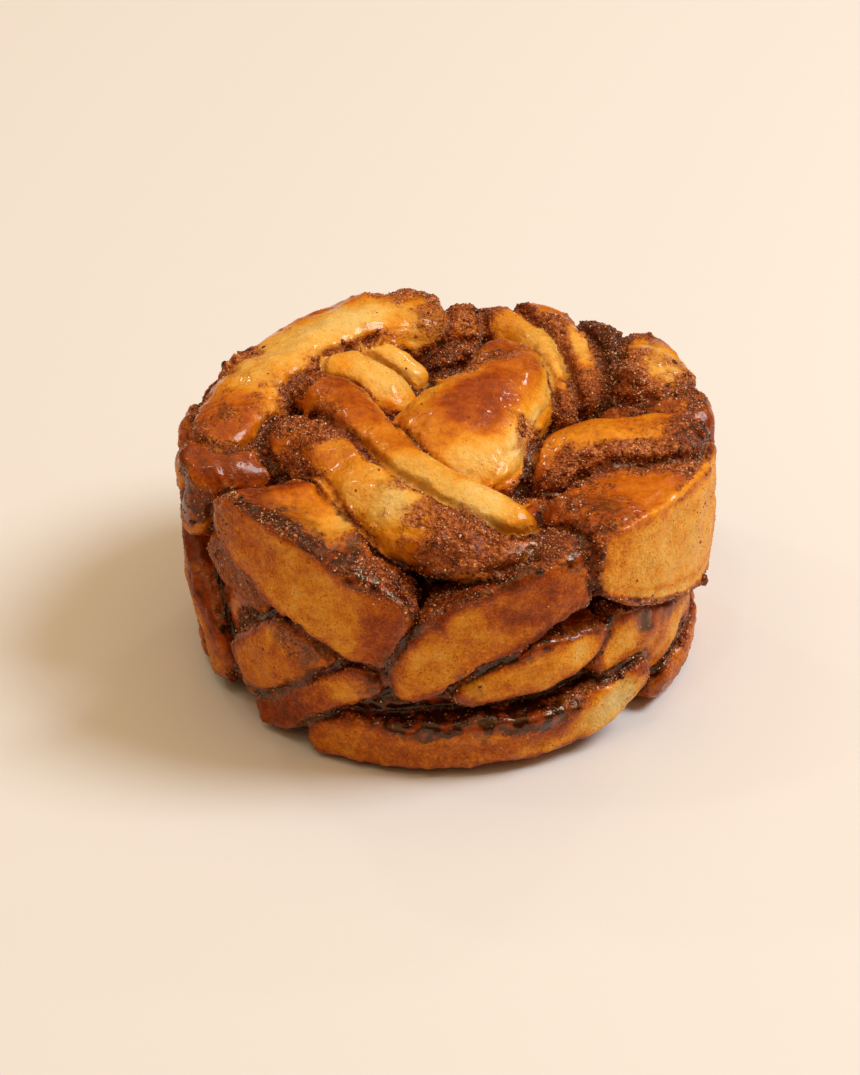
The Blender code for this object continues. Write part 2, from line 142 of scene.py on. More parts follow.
def top_ribbons():
    """The knot on top: the loop, the band that crosses it, and the folds tucked round them."""
    return [
        ribbon("loop", [
            (3.0, 18.5, 41.5, 4.2), (6.2, 22.0, 45.8, 5.4), (10.4, 21.2, 48.8, 6.6),
            (12.4, 15.5, 50.0, 8.0), (11.2, 8.0, 50.4, 9.4), (7.6, 0.2, 50.6, 11.4),
            (3.0, -8.0, 50.0, 12.8), (-1.5, -14.3, 48.2, 13.2), (-6.0, -19.5, 45.0, 12.4),
        ], 7.5, (20, 0), 2.2),
        ribbon("crossing", [
            (-30.5, 6.5, 41.5, 4.2), (-26.0, 9.5, 45.5, 5.2), (-20.5, 8.5, 48.5, 5.8),
            (-16.8, -1.0, 49.0, 5.8), (-12.6, -11.6, 49.3, 5.6), (-7.0, -20.6, 49.3, 5.4),
            (-0.5, -27.0, 49.0, 5.4), (5.8, -31.2, 48.2, 5.6), (11.8, -34.2, 46.6, 5.6),
            (17.8, -36.0, 43.8, 4.8),
        ], 6.0, (10, 25), 2.4),
        ribbon("lower_band", [
            (-31.0, 2.5, 42.5, 5.5), (-27.5, -4.0, 45.0, 6.2), (-22.5, -8.5, 46.3, 6.6),
            (-18.0, -15.5, 47.0, 6.6), (-14.0, -23.5, 47.2, 6.6), (-9.0, -30.2, 46.9, 6.8),
            (-2.5, -35.0, 46.2, 6.8), (5.0, -37.8, 45.2, 6.6), (12.5, -38.2, 43.8, 6.0),
            (20.0, -35.5, 41.5, 4.8),
        ], 4.8, (25, 35), 2.4),
        ribbon("finger_a", [
            (-32.0, 7.5, 41.5, 4.5), (-28.5, 14.0, 44.6, 5.4), (-23.0, 20.5, 46.4, 6.0),
            (-16.0, 18.5, 46.6, 6.2), (-10.0, 14.5, 45.2, 6.2), (-3.0, 9.5, 42.0, 5.2),
        ], 6.0, (5, -10)),
        ribbon("finger_b", [
            (-21.0, 29.0, 43.5, 3.6), (-15.0, 27.5, 45.6, 4.2), (-9.5, 24.5, 45.0, 4.4),
            (-2.0, 18.5, 42.0, 3.8),
        ], 5.0, (0, -10)),
        ribbon("hollow_slope", [
            (9.0, 40.5, 42.0, 7.0), (4.0, 36.0, 42.5, 8.0), (-1.0, 30.5, 41.0, 8.5),
            (-2.5, 22.0, 37.0, 8.5),
        ], 7.0, (0, 0)),
        ribbon("arc_inner", [
            (3.0, 41.5, 43.0, 4.0), (8.0, 39.3, 45.3, 4.6), (12.8, 36.0, 46.3, 5.0),
            (17.0, 30.0, 46.6, 5.0), (19.8, 21.5, 46.3, 4.8), (20.8, 12.5, 45.3, 4.6),
            (20.0, 3.0, 42.0, 4.0),
        ], 6.5, (10, 0)),
        ribbon("arc_outer", [
            (11.5, 42.5, 43.8, 4.6), (16.5, 39.0, 46.3, 5.2), (21.0, 33.5, 47.3, 5.4),
            (24.5, 25.0, 47.3, 5.0), (26.2, 15.5, 46.8, 4.6), (26.6, 6.5, 44.0, 4.0),
        ], 7.0, (15, 0)),
        ribbon("dark_ridge", [
            (23.5, 39.5, 43.0, 3.4), (28.0, 32.5, 46.4, 4.4), (31.0, 25.0, 47.0, 4.4),
            (32.0, 16.0, 46.6, 4.2), (31.4, 7.0, 44.0, 3.6),
        ], 6.0, (15, 5)),
        ribbon("right_ridge", [
            (11.0, -11.0, 38.5, 5.5), (16.5, -10.5, 43.0, 6.8), (22.0, -8.5, 45.8, 7.4),
            (28.5, -6.8, 47.3, 7.6), (35.5, -6.0, 47.6, 7.6), (42.0, -6.0, 47.2, 7.4),
            (48.0, -6.0, 45.0, 6.6),
        ], 7.5, (0, 15), 2.5, 3.0),
    ]


def rim_ribbons():
    """The folds along the rim: the big arc at the back left and the short ones beside it."""
    return [
        ribbon("back_left_arc", [
            (-45.0, -16.0, 40.5, 6.5), (-43.0, -9.0, 43.5, 7.8), (-39.0, -1.0, 46.0, 8.6),
            (-35.0, 8.5, 47.0, 9.0), (-30.0, 18.5, 47.6, 9.2), (-24.0, 27.5, 48.2, 9.2),
            (-16.5, 34.0, 48.7, 8.8), (-8.5, 37.3, 48.7, 8.4), (-1.0, 38.5, 48.0, 7.6),
            (5.5, 38.5, 45.5, 6.2),
        ], 8.5, (15, 5), 2.4),
        ribbon("back_rim", [
            (-6.0, 41.0, 44.5, 6.5), (3.0, 41.5, 45.0, 6.5), (12.0, 42.0, 44.0, 6.0),
        ], 7.0, (30, 30)),
        ribbon("right_back_block", [
            (32.0, 33.0, 44.0, 6.0), (37.0, 26.5, 46.6, 8.0), (39.6, 18.0, 47.4, 8.8),
            (39.6, 10.0, 46.8, 8.6), (38.4, 3.5, 43.5, 7.0),
        ], 8.5, (5, 25), 3.0, 3.0),
    ]


def side_ribbons():
    """The slabs that the ring pressed flat, as the front and the two flanks show them."""
    return [
        ribbon("front_left_slab", walls(
            (-60, 41.5, 4.0), (-50, 41.0, 5.8), (-40, 38.6, 7.6), (-30, 35.8, 8.6),
            (-20, 32.4, 8.6), (-9, 28.6, 7.6),
        ), 12.0, (78, 86), 4.6, 4.0),
        ribbon("front_middle_slab", walls(
            (-14, 17.8, 4.6, 0.9), (-9, 20.8, 5.8, 0.9), (-3, 25.2, 6.9, 0.9), (4, 29.4, 7.5, 0.9),
            (11, 32.4, 7.7, 0.9), (19, 35.2, 7.3, 1.2), (27, 37.4, 6.6, 1.6), (36, 39.0, 5.6, 2.4),
        ), 9.0, (85, 80), 3.0, 2.8, 0.9),
        ribbon("front_lower_fold", walls(
            (-1, 16.6, 2.4, 1.8), (5, 17.8, 3.8, 1.7), (13, 19.8, 4.8, 1.6), (22, 21.2, 4.9, 1.6),
            (31, 22.8, 4.2, 1.8), (40, 25.2, 3.4, 2.6),
        ), 8.0, (90, 90), 2.4, 2.2, 1.6),
        ribbon("right_front_slab", walls(
            (31, 40.2, 5.8), (35.5, 39.6, 6.8), (42, 38.2, 8.2), (51, 36.4, 9.8), (62, 34.6, 11.2),
            (76, 32.6, 12.0), (92, 32.4, 11.0),
        ), 11.0, (80, 86), 5.0, 4.0),
        ribbon("right_low_slab", walls(
            (33, 24.5, 6.0, 3.2), (44, 19.5, 7.6, 2.6), (57, 15.8, 8.2, 2.4), (71, 13.0, 8.2, 2.2),
            (88, 11.0, 7.0, 2.0),
        ), 9.0, (90, 88), 2.8, 2.6, 2.4),
        ribbon("left_low_slab", walls(
            (-55, 11.0, 5.4, 0.6), (-46, 15.2, 6.6, 0.6), (-37, 20.5, 6.8, 0.8),
            (-24, 27.5, 5.6, 2.4),
        ), 9.0, (88, 88), 3.4, 3.6, 0.6),
        ribbon("left_tucked_fold", walls(
            (-70, 28.0, 4.6, 2.2), (-59, 29.8, 5.4, 2.4), (-49, 29.0, 5.4, 2.8),
            (-38, 26.0, 4.8, 3.6),
        ), 8.0, (85, 88), 2.4, 2.4, 2.4),
        ribbon("left_foot_fold", walls(
            (-51, 3.8, 3.8, 0.4), (-42, 6.8, 4.6, 0.4), (-33, 12.2, 4.8, 0.8),
            (-23, 17.6, 4.6, 1.8), (-12, 21.5, 4.0, 3.0),
        ), 8.0, (90, 90), 2.6, 2.8, 0.6),
        ribbon("left_low_flank", walls(
            (-60, 4.5, 5.2, 0.5), (-70, 9.5, 6.6, 0.3), (-82, 16.0, 7.4, 0.2),
            (-95, 21.5, 7.4, 0.2), (-108, 26.0, 6.2, 0.6),
        ), 9.0, (90, 86), 3.0, 2.6, 0.3),
        ribbon("left_high_flank", walls(
            (-69, 37.0, 7.8), (-80, 37.4, 8.6), (-94, 36.4, 8.8), (-108, 34.6, 7.8),
        ), 11.0, (78, 80), 3.4, 4.0),
    ]


# The side that the named slabs leave open, from the right flank round the back to the left flank
BACK_START, BACK_END = 92.0, 262.0
BACK_PAIRS = 5
BACK_UPPER_HEIGHTS = (39.4, 37.4, 33.8, 30.0)
BACK_LOWER_HEIGHTS = (17.0, 23.0, 27.5, 31.0)
BACK_UPPER_WIDTHS = (6.4, 8.2, 8.2, 6.6)
BACK_LOWER_WIDTHS = (5.2, 6.6, 6.6, 5.4)
# Where a pair's two slabs start and how far each of their points goes on, in shares of the pitch
UPPER_START, UPPER_STRIDE = -0.05, 0.36
LOWER_START, LOWER_STRIDE = 0.18, 0.34
# How the pairs differ: the sine of this angle, in radians, changes their heights and widths
WANDER_START, WANDER_TURN = 0.8, 2.4
BACK_LOWER_INSET = 1.4


def back_ribbons():
    """The same over-and-under folds carried on round the back, each a little unlike the last."""
    made = []
    pitch = (BACK_END - BACK_START) / BACK_PAIRS
    for index in range(BACK_PAIRS):
        start = BACK_START + pitch * index
        wander = math.sin(WANDER_TURN * index + WANDER_START)
        inset = BACK_LOWER_INSET + 0.5 * wander
        upper = []
        for k, (height, width) in enumerate(zip(BACK_UPPER_HEIGHTS, BACK_UPPER_WIDTHS)):
            azimuth = start + pitch * (UPPER_START + UPPER_STRIDE * k)
            upper.append(wall(azimuth, height + 1.2 * wander, width + 0.6 * wander))
        lower = []
        for k, (height, width) in enumerate(zip(BACK_LOWER_HEIGHTS, BACK_LOWER_WIDTHS)):
            azimuth = start + pitch * (LOWER_START + LOWER_STRIDE * k)
            lower.append(wall(azimuth, height - 1.4 * wander, width, inset))
        made.append(ribbon(f"back_upper_{index}", upper, 11.0, (76, 86), 3.2, 3.0))
        made.append(ribbon(f"back_lower_{index}", lower, 8.5, (90, 88), 2.8, 2.6, inset))
    return made


FOOT_WIDTH, FOOT_END_WIDTH = 5.4, 4.2
FOOT_INSET = 0.2


def foot_ribbons():
    """The bottom coil, which runs round the foot in four overlapping lengths."""
    lengths = [
        ("front_foot", (-35, -22, -6, 10, 26, 40, 52), (4.0, 5.4, 6.4, 6.8, 7.6, 9.4, 12.5)),
        ("right_foot", (56, 72, 90, 108, 126), (4.5, 5.6, 6.4, 7.2, 9.0)),
        ("back_foot", (122, 140, 160, 180, 200), (4.8, 5.8, 6.6, 7.0, 8.8)),
        ("left_foot", (196, 214, 234, 254, 272, 288), (4.8, 5.8, 6.4, 7.2, 6.4, 5.2)),
    ]
    made = []
    for name, azimuths, heights in lengths:
        last = len(azimuths) - 1
        points = [
            wall(azimuth, height, FOOT_WIDTH if 0 < k < last else FOOT_END_WIDTH, FOOT_INSET)
            for k, (azimuth, height) in enumerate(zip(azimuths, heights))
        ]
        made.append(ribbon(name, points, 8.0, (90, 90), 2.6, 2.4, FOOT_INSET))
    return made


def unit(rows):
    return rows / np.maximum(np.linalg.norm(rows, axis=-1, keepdims=True), 1e-9)


def curve_rows(points):
    """A Catmull-Rom curve through rows of numbers, with the length up to each of its samples."""
    points = np.array(points)
    last = len(points) - 1
    position = np.linspace(0.0, last, CURVE_SAMPLES + 1)
    index = np.minimum(position.astype(int), last - 1)
    t = (position - index)[:, None]
    before = points[np.maximum(index - 1, 0)]
    start, end = points[index], points[index + 1]
    after = points[np.minimum(index + 2, last)]
    rows = 0.5 * (
        2.0 * start
        + (end - before) * t
        + (2.0 * before - 5.0 * start + 4.0 * end - after) * t**2
        + (3.0 * start - before - 3.0 * end + after) * t**3
    )
    steps = np.linalg.norm(np.diff(rows[:, :3], axis=0), axis=1)
    return np.concatenate(([0.0], np.cumsum(steps))), rows


def stations(length, cap):
    """Where the rings of a ribbon sit along it, closer together over its two rounded ends."""
    turn = cap * (1.0 - np.cos(0.5 * math.pi * np.arange(1, CAP_RINGS) / CAP_RINGS))
    middle = max(2, round((length - 2.0 * cap) / RING_STEP))
    straight = cap + (length - 2.0 * cap) * np.arange(middle + 1) / middle
    return np.concatenate((turn, straight, length - turn[::-1]))


def soft_limit(value, limit, softness):
    """value, held under limit with a rounded shoulder."""
    return limit - softness * np.logaddexp(0.0, (limit - value) / softness)


def in_ring(points, inset):
    """Points of a ribbon, held inside the ring and above the tray, with the dough's own lumps."""
    lumps = [
        [noise.noise(Vector(point) / LUMP_SIZE + shift) for shift in LUMP_SHIFTS] for point in points
    ]
    points = points + np.array(lumps) * LUMP_DEPTH
    height = TRAY_GAP - soft_limit(TRAY_GAP - points[:, 2], 0.0, TRAY_SOFTNESS)
    centre = np.array(RING_CENTRE)[:2]
    level = points[:, :2] - centre
    reach = np.linalg.norm(level, axis=1)
    held = soft_limit(reach, ring_radii(height, inset), RING_SOFTNESS)
    level = level * (held / np.maximum(reach, 1e-6))[:, None] + centre
    return np.column_stack((level, height))


def sweep(spec):
    """One ribbon: its points ring by ring with a pole at each end, and where each ring sits along it."""
    lengths, rows = curve_rows(spec["points"])
    length = lengths[-1]
    cap = min(CAP_SHARE * length, CAP_WIDTHS * rows[:, 3].max())
    places = np.concatenate(([0.0], stations(length, cap), [length]))
    crest = np.column_stack([np.interp(places, lengths, rows[:, k]) for k in range(4)])
    slope = np.gradient(rows[:, :3], axis=0)
    tangent = unit(np.column_stack([np.interp(places, lengths, slope[:, k]) for k in range(3)]))
    start, end = spec["lean"]
    lean = np.radians(start + (end - start) * places / length)[:, None]
    outwards = unit(crest[:, :3] * (1.0, 1.0, 0.0))
    facing = np.array((0.0, 0.0, 1.0)) * np.cos(lean) + outwards * np.sin(lean)
    across = unit(np.cross(tangent, facing))
    normal = unit(np.cross(across, tangent))
    nearness = np.clip(np.minimum(places, length - places) / cap, 0.0, 1.0)
    share = (1.0 - (1.0 - nearness) ** spec["ends"]) ** (1.0 / spec["ends"])
    angles = 2.0 * math.pi * np.arange(SIDES) / SIDES
    power = 2.0 / spec["section"]
    wide = np.copysign(np.abs(np.cos(angles)) ** power, np.cos(angles))
    high = np.copysign(np.abs(np.sin(angles)) ** power, np.sin(angles))
    centre = crest[:, :3] - normal * spec["thickness"]
    sideways = (wide * (crest[:, 3] * share)[:, None])[..., None] * across[:, None]
    upwards = (high * (spec["thickness"] * share)[:, None])[..., None] * normal[:, None]
    rings = (centre[:, None] + sideways + upwards)[1:-1]
    points = np.vstack((rings.reshape(-1, 3), centre[:1], centre[-1:]))
    return in_ring(points, spec["inset"]), places


def grid_faces(rings):
    """Quads between the rings of a ribbon, and the fans of triangles round its two poles."""
    first = np.arange(rings - 1)[:, None] * SIDES
    side = np.arange(SIDES)
    following = (side + 1) % SIDES
    quads = np.stack(
        (first + side, first + following, first + following + SIDES, first + side + SIDES), axis=-1
    ).reshape(-1, 4)
    last = (rings - 1) * SIDES
    poles = rings * SIDES
    start_fan = np.column_stack((np.full(SIDES, poles), following, side))
    end_fan = np.column_stack((np.full(SIDES, poles + 1), last + side, last + following))
    return quads, np.vstack((start_fan, end_fan))


def middle_of_bun():
    """The dough behind the ribbons, turned: flat base disc, rounded foot, domed top."""
    profile = [
        (0.0, 0.0),
        (BASE_DISC_RADIUS, 0.0),
        (BASE_DISC_RADIUS + 2.0, 1.4),
        (MIDDLE_RADIUS + 1.6, 5.0),
        (MIDDLE_RADIUS + 1.6, 14.0),
        (MIDDLE_RADIUS, 24.0),
        (MIDDLE_RADIUS - 1.5, 32.0),
        (MIDDLE_RADIUS - 8.0, MIDDLE_HEIGHT),
        (0.0, MIDDLE_HEIGHT + 1.5),
    ]
    turn = 2.0 * math.pi * np.arange(TURN_STEPS) / TURN_STEPS
    points = [(0.0, 0.0, profile[0][1]), (0.0, 0.0, profile[-1][1])]
    for radius, height in profile[1:-1]:
        points += [(radius * math.sin(angle), -radius * math.cos(angle), height) for angle in turn]
    faces = []
    rings = len(profile) - 2
    for side in range(TURN_STEPS):
        following = (side + 1) % TURN_STEPS
        faces.append((0, 2 + following, 2 + side))
        for ring in range(rings - 1):
            low = 2 + ring * TURN_STEPS
            high = low + TURN_STEPS
            faces.append((low + side, low + following, high + following, high + side))
        top = 2 + (rings - 1) * TURN_STEPS
        faces.append((top + side, top + following, 1))
    return points, faces


def linked_object(name, data):
    obj = bpy.data.objects.new(name, data)
    bpy.context.scene.collection.objects.link(obj)
    return obj


def mesh_from(name, points, faces):
    """Mesh data in metres from points in millimetres and faces of one size each."""
    data = bpy.data.meshes.new(name)
    loops = np.concatenate([np.asarray(group).ravel() for group in faces])
    sizes = np.concatenate([np.full(len(group), np.shape(group)[1]) for group in faces])
    starts = np.concatenate(([0], np.cumsum(sizes)[:-1]))
    data.vertices.add(len(points))
    data.vertices.foreach_set("co", (np.asarray(points) * MM).astype(np.float32).ravel())
    data.loops.add(len(loops))
    data.loops.foreach_set("vertex_index", loops.astype(np.int32))
    data.polygons.add(len(sizes))
    data.polygons.foreach_set("loop_start", starts.astype(np.int32))
    data.update(calc_edges=True)
    data.validate()
    return data


def applied(obj, name, kind, **settings):
    """Applies one modifier to an object's mesh."""
    modifier = obj.modifiers.new(name, kind)
    for key, value in settings.items():
        setattr(modifier, key, value)
    graph = bpy.context.evaluated_depsgraph_get()
    made = bpy.data.meshes.new_from_object(obj.evaluated_get(graph))
    obj.modifiers.remove(modifier)
    old = obj.data
    obj.data = made
    bpy.data.meshes.remove(old)


def read(items, key, width=1, kind=np.float32):
    """One property of all of a mesh's items, in rows of the given width."""
    flat = np.empty(len(items) * width, kind)
    items.foreach_get(key, flat)
    return flat.reshape(-1, width) if width > 1 else flat


def points_of(data):
    """A mesh's points in millimetres."""
    return read(data.vertices, "co", 3).astype(float) / MM


def edges_of(data):
    return read(data.edges, "vertices", 2, np.int32)


def place_points(data, points):
    data.vertices.foreach_set("co", (points * MM).astype(np.float32).ravel())
    data.update()


def largest_shell(data):
    """Marks the points of the mesh's largest connected shell."""
    edges = edges_of(data)
    label = np.arange(len(data.vertices))
    while True:
        low = np.minimum(label[edges[:, 0]], label[edges[:, 1]])
        lower = label.copy()
        np.minimum.at(lower, edges[:, 0], low)
        np.minimum.at(lower, edges[:, 1], low)
        lower = lower[lower]
        if np.array_equal(lower, label):
            break
        label = lower
    names, counts = np.unique(label, return_counts=True)
    return label == names[counts.argmax()]


def keep_points(data, kept):
    """The mesh with only the faces whose points are all kept."""
    quads = read(data.loops, "vertex_index", kind=np.int32).reshape(-1, 4)
    quads = quads[kept[quads].all(axis=1)]
    index = np.cumsum(kept) - 1
    return mesh_from(data.name, points_of(data)[kept], [index[quads]])


def melted_skin(parts):
    """The swept ribbons and the middle melted into one skin; air pockets shut inside are dropped."""
    points, quads, fans = [], [], []
    count = 0
    for ribbon_points, places in parts:
        ring_quads, pole_fans = grid_faces(len(places) - 2)
        quads.append(ring_quads + count)
        fans.append(pole_fans + count)
        points.append(ribbon_points)
        count += len(ribbon_points)
    middle_points, middle_faces = middle_of_bun()
    quads.append(np.array([face for face in middle_faces if len(face) == 4]) + count)
    fans.append(np.array([face for face in middle_faces if len(face) == 3]) + count)
    points.append(np.array(middle_points))
    data = mesh_from("bun_skin", np.vstack(points), [np.vstack(quads), np.vstack(fans)])
    skin = linked_object("bun_skin", data)
    applied(skin, "melt", "REMESH", mode="VOXEL", voxel_size=SKIN_VOXEL * MM, adaptivity=0.0)
    old = skin.data
    skin.data = keep_points(old, largest_shell(old))
    bpy.data.meshes.remove(old)
    return skin


def hashed(cells, seed):
    """A repeatable random number from 0 to 1 for each cell, a row of three whole numbers."""
    x, y, z = (cells[..., axis].astype(np.uint64) for axis in range(3))
    mixed = x * np.uint64(73856093) ^ y * np.uint64(19349663) ^ z * np.uint64(83492791)
    mixed = (mixed + np.uint64(seed + 1) * np.uint64(2654435769)) * np.uint64(0x9E3779B97F4A7C15)
    mixed ^= mixed >> np.uint64(29)
    mixed *= np.uint64(0xBF58476D1CE4E5B9)
    return (mixed >> np.uint64(40)).astype(float) / float(1 << 24)


TURNED = np.array(((0.36, 0.48, -0.80), (-0.80, 0.60, 0.0), (0.48, 0.64, 0.60)))


def cloud(points, size, seed=0):
    """Smooth random numbers from -1 to 1, with lumps of about the given size."""
    total = 0.0
    weight = 0.0
    for octave, share in enumerate((1.0, 0.45)):
        points = points @ TURNED
        places = points * (2.0**octave / size)
        base = np.floor(places).astype(np.int64)
        part = places - base
        part = part * part * (3.0 - 2.0 * part)
        for corner in range(8):
            offset = np.array((corner & 1, corner >> 1 & 1, corner >> 2 & 1))
            near = np.where(offset, part, 1.0 - part).prod(axis=-1)
            total += share * near * (2.0 * hashed(base + offset, seed + octave) - 1.0)
        weight += share
    return total / weight * 1.6


def pebbles(points, size, seed=0):
    """Distance to the nearest of randomly placed points, as a share of their spacing."""
    places = points / size
    base = np.floor(places).astype(np.int64)
    nearest = np.full(len(points), 9.0)
    for cell in range(27):
        corner = base + np.array((cell % 3 - 1, cell // 3 % 3 - 1, cell // 9 - 1))
        centre = corner + np.column_stack([hashed(corner, seed + axis) for axis in range(3)])
        nearest = np.minimum(nearest, ((places - centre) ** 2).sum(axis=1))
    return np.sqrt(nearest)


class Surface:
    """The skin's points with where they lie on their ribbon, and what the surface does there."""

    def __init__(self, data, specs, parts):
        self.points = points_of(data)
        self.edges = edges_of(data)
        self.degree = np.bincount(self.edges.ravel(), minlength=len(self.points))
        self.normals = read(data.vertex_normals, "vector", 3).astype(float)
        self.names = [spec["name"] for spec in specs]
        self.lie = Lie(self.points, specs, parts)
        inset = np.array([spec["inset"] for spec in specs])[self.lie.which]
        level = self.points[:, :2] - np.array(RING_CENTRE)[:2]
        self.from_ring = ring_radii(self.points[:, 2], inset) - np.linalg.norm(level, axis=1)
        self.outward = (self.normals[:, :2] * unit(level)).sum(axis=1)
        self.measure_relief()
        self.seam = self.seam_distance()

    def mean_round(self, values):
        """Each point's mean over its neighbours."""
        first, second = self.edges[:, 0], self.edges[:, 1]
        count = len(self.points)
        columns = [
            np.bincount(first, column[second], count) + np.bincount(second, column[first], count)
            for column in values.reshape(count, -1).T
        ]
        return (np.column_stack(columns) / self.degree[:, None]).reshape(values.shape)

    def blurred(self, values, rounds):
        for _ in range(rounds):
            values = 0.5 * values + 0.5 * self.mean_round(values)
        return values

    def measure_relief(self):
        """How far each point lies below (+) or above (-) its smoothed surroundings, at three scales."""
        smooth = self.points
        self.relief = []
        done = 0
        for rounds in RELIEF_ROUNDS:
            smooth = self.blurred(smooth, rounds - done)
            done = rounds
            self.relief.append(((smooth - self.points) * self.normals).sum(axis=1))

    def seam_distance(self):
        """The way over the surface to the nearest place where two ribbons meet."""
        first, second = self.edges[:, 0], self.edges[:, 1]
        step = np.linalg.norm(self.points[first] - self.points[second], axis=1)
        owner = np.where(self.lie.off > MIDDLE_SHOWS, -1, self.lie.which)
        distance = np.full(len(self.points), SEAM_REACH)
        meeting = owner[first] != owner[second]
        distance[self.edges[meeting].ravel()] = 0.0
        for _ in range(round(SEAM_REACH / SKIN_VOXEL)):
            nearer = distance.copy()
            np.minimum.at(nearer, first, distance[second] + step)
            np.minimum.at(nearer, second, distance[first] + step)
            distance = nearer
        return self.blurred(distance, 3)

    def is_ribbon(self, *names):
        wanted = [k for k, name in enumerate(self.names) if name.startswith(names)]
        return np.isin(self.lie.which, wanted)


class Lie:
    """For points on the skin: the ribbon under each, and the place along it and around it."""

    def __init__(self, where, specs, parts):
        quads, sizes = [], []
        count = 0
        for points, places in parts:
            quads.append(grid_faces(len(places) - 2)[0] + count)
            sizes.append(len(quads[-1]))
            count += len(points)
        corners = np.vstack([points for points, _ in parts])
        quads = np.vstack(quads)
        tree = BVHTree.FromPolygons(corners.tolist(), quads.tolist())
        found = [tree.find_nearest(point) for point in where.tolist()]
        face = np.array([hit[2] for hit in found])
        self.off = np.array([hit[3] for hit in found])
        starts = np.concatenate(([0], np.cumsum(sizes)))
        self.which = np.searchsorted(starts, face, side="right") - 1
        inside = face - starts[self.which]
        ring, side = inside // SIDES, inside % SIDES
        a, b, d = (corners[quads[face, k]] for k in (0, 1, 3))
        forward = share_between(where, a, d)
        aside = share_between(where, a, b)
        place_table = np.zeros((len(parts), max(len(places) for _, places in parts)))
        for row, (_, places) in zip(place_table, parts):
            row[: len(places)] = places
        low = place_table[self.which, ring + 1]
        high = place_table[self.which, ring + 2]
        self.along = low + (high - low) * forward
        self.length = np.array([places[-1] for _, places in parts])[self.which]
        self.share = self.along / self.length
        turn = 2.0 * math.pi * (side + aside) / SIDES
        self.around = np.mod(90.0 - np.degrees(turn) + 180.0, 360.0) / 90.0 - 2.0
        self.width = np.array([max(point[3] for point in spec["points"]) for spec in specs])[self.which]


def share_between(points, start, end):
    """How far along from start to end each point lies, from 0 to 1."""
    way = end - start
    reach = np.maximum((way**2).sum(axis=1), 1e-9)
    return np.clip(((points - start) * way).sum(axis=1) / reach, 0.0, 1.0)
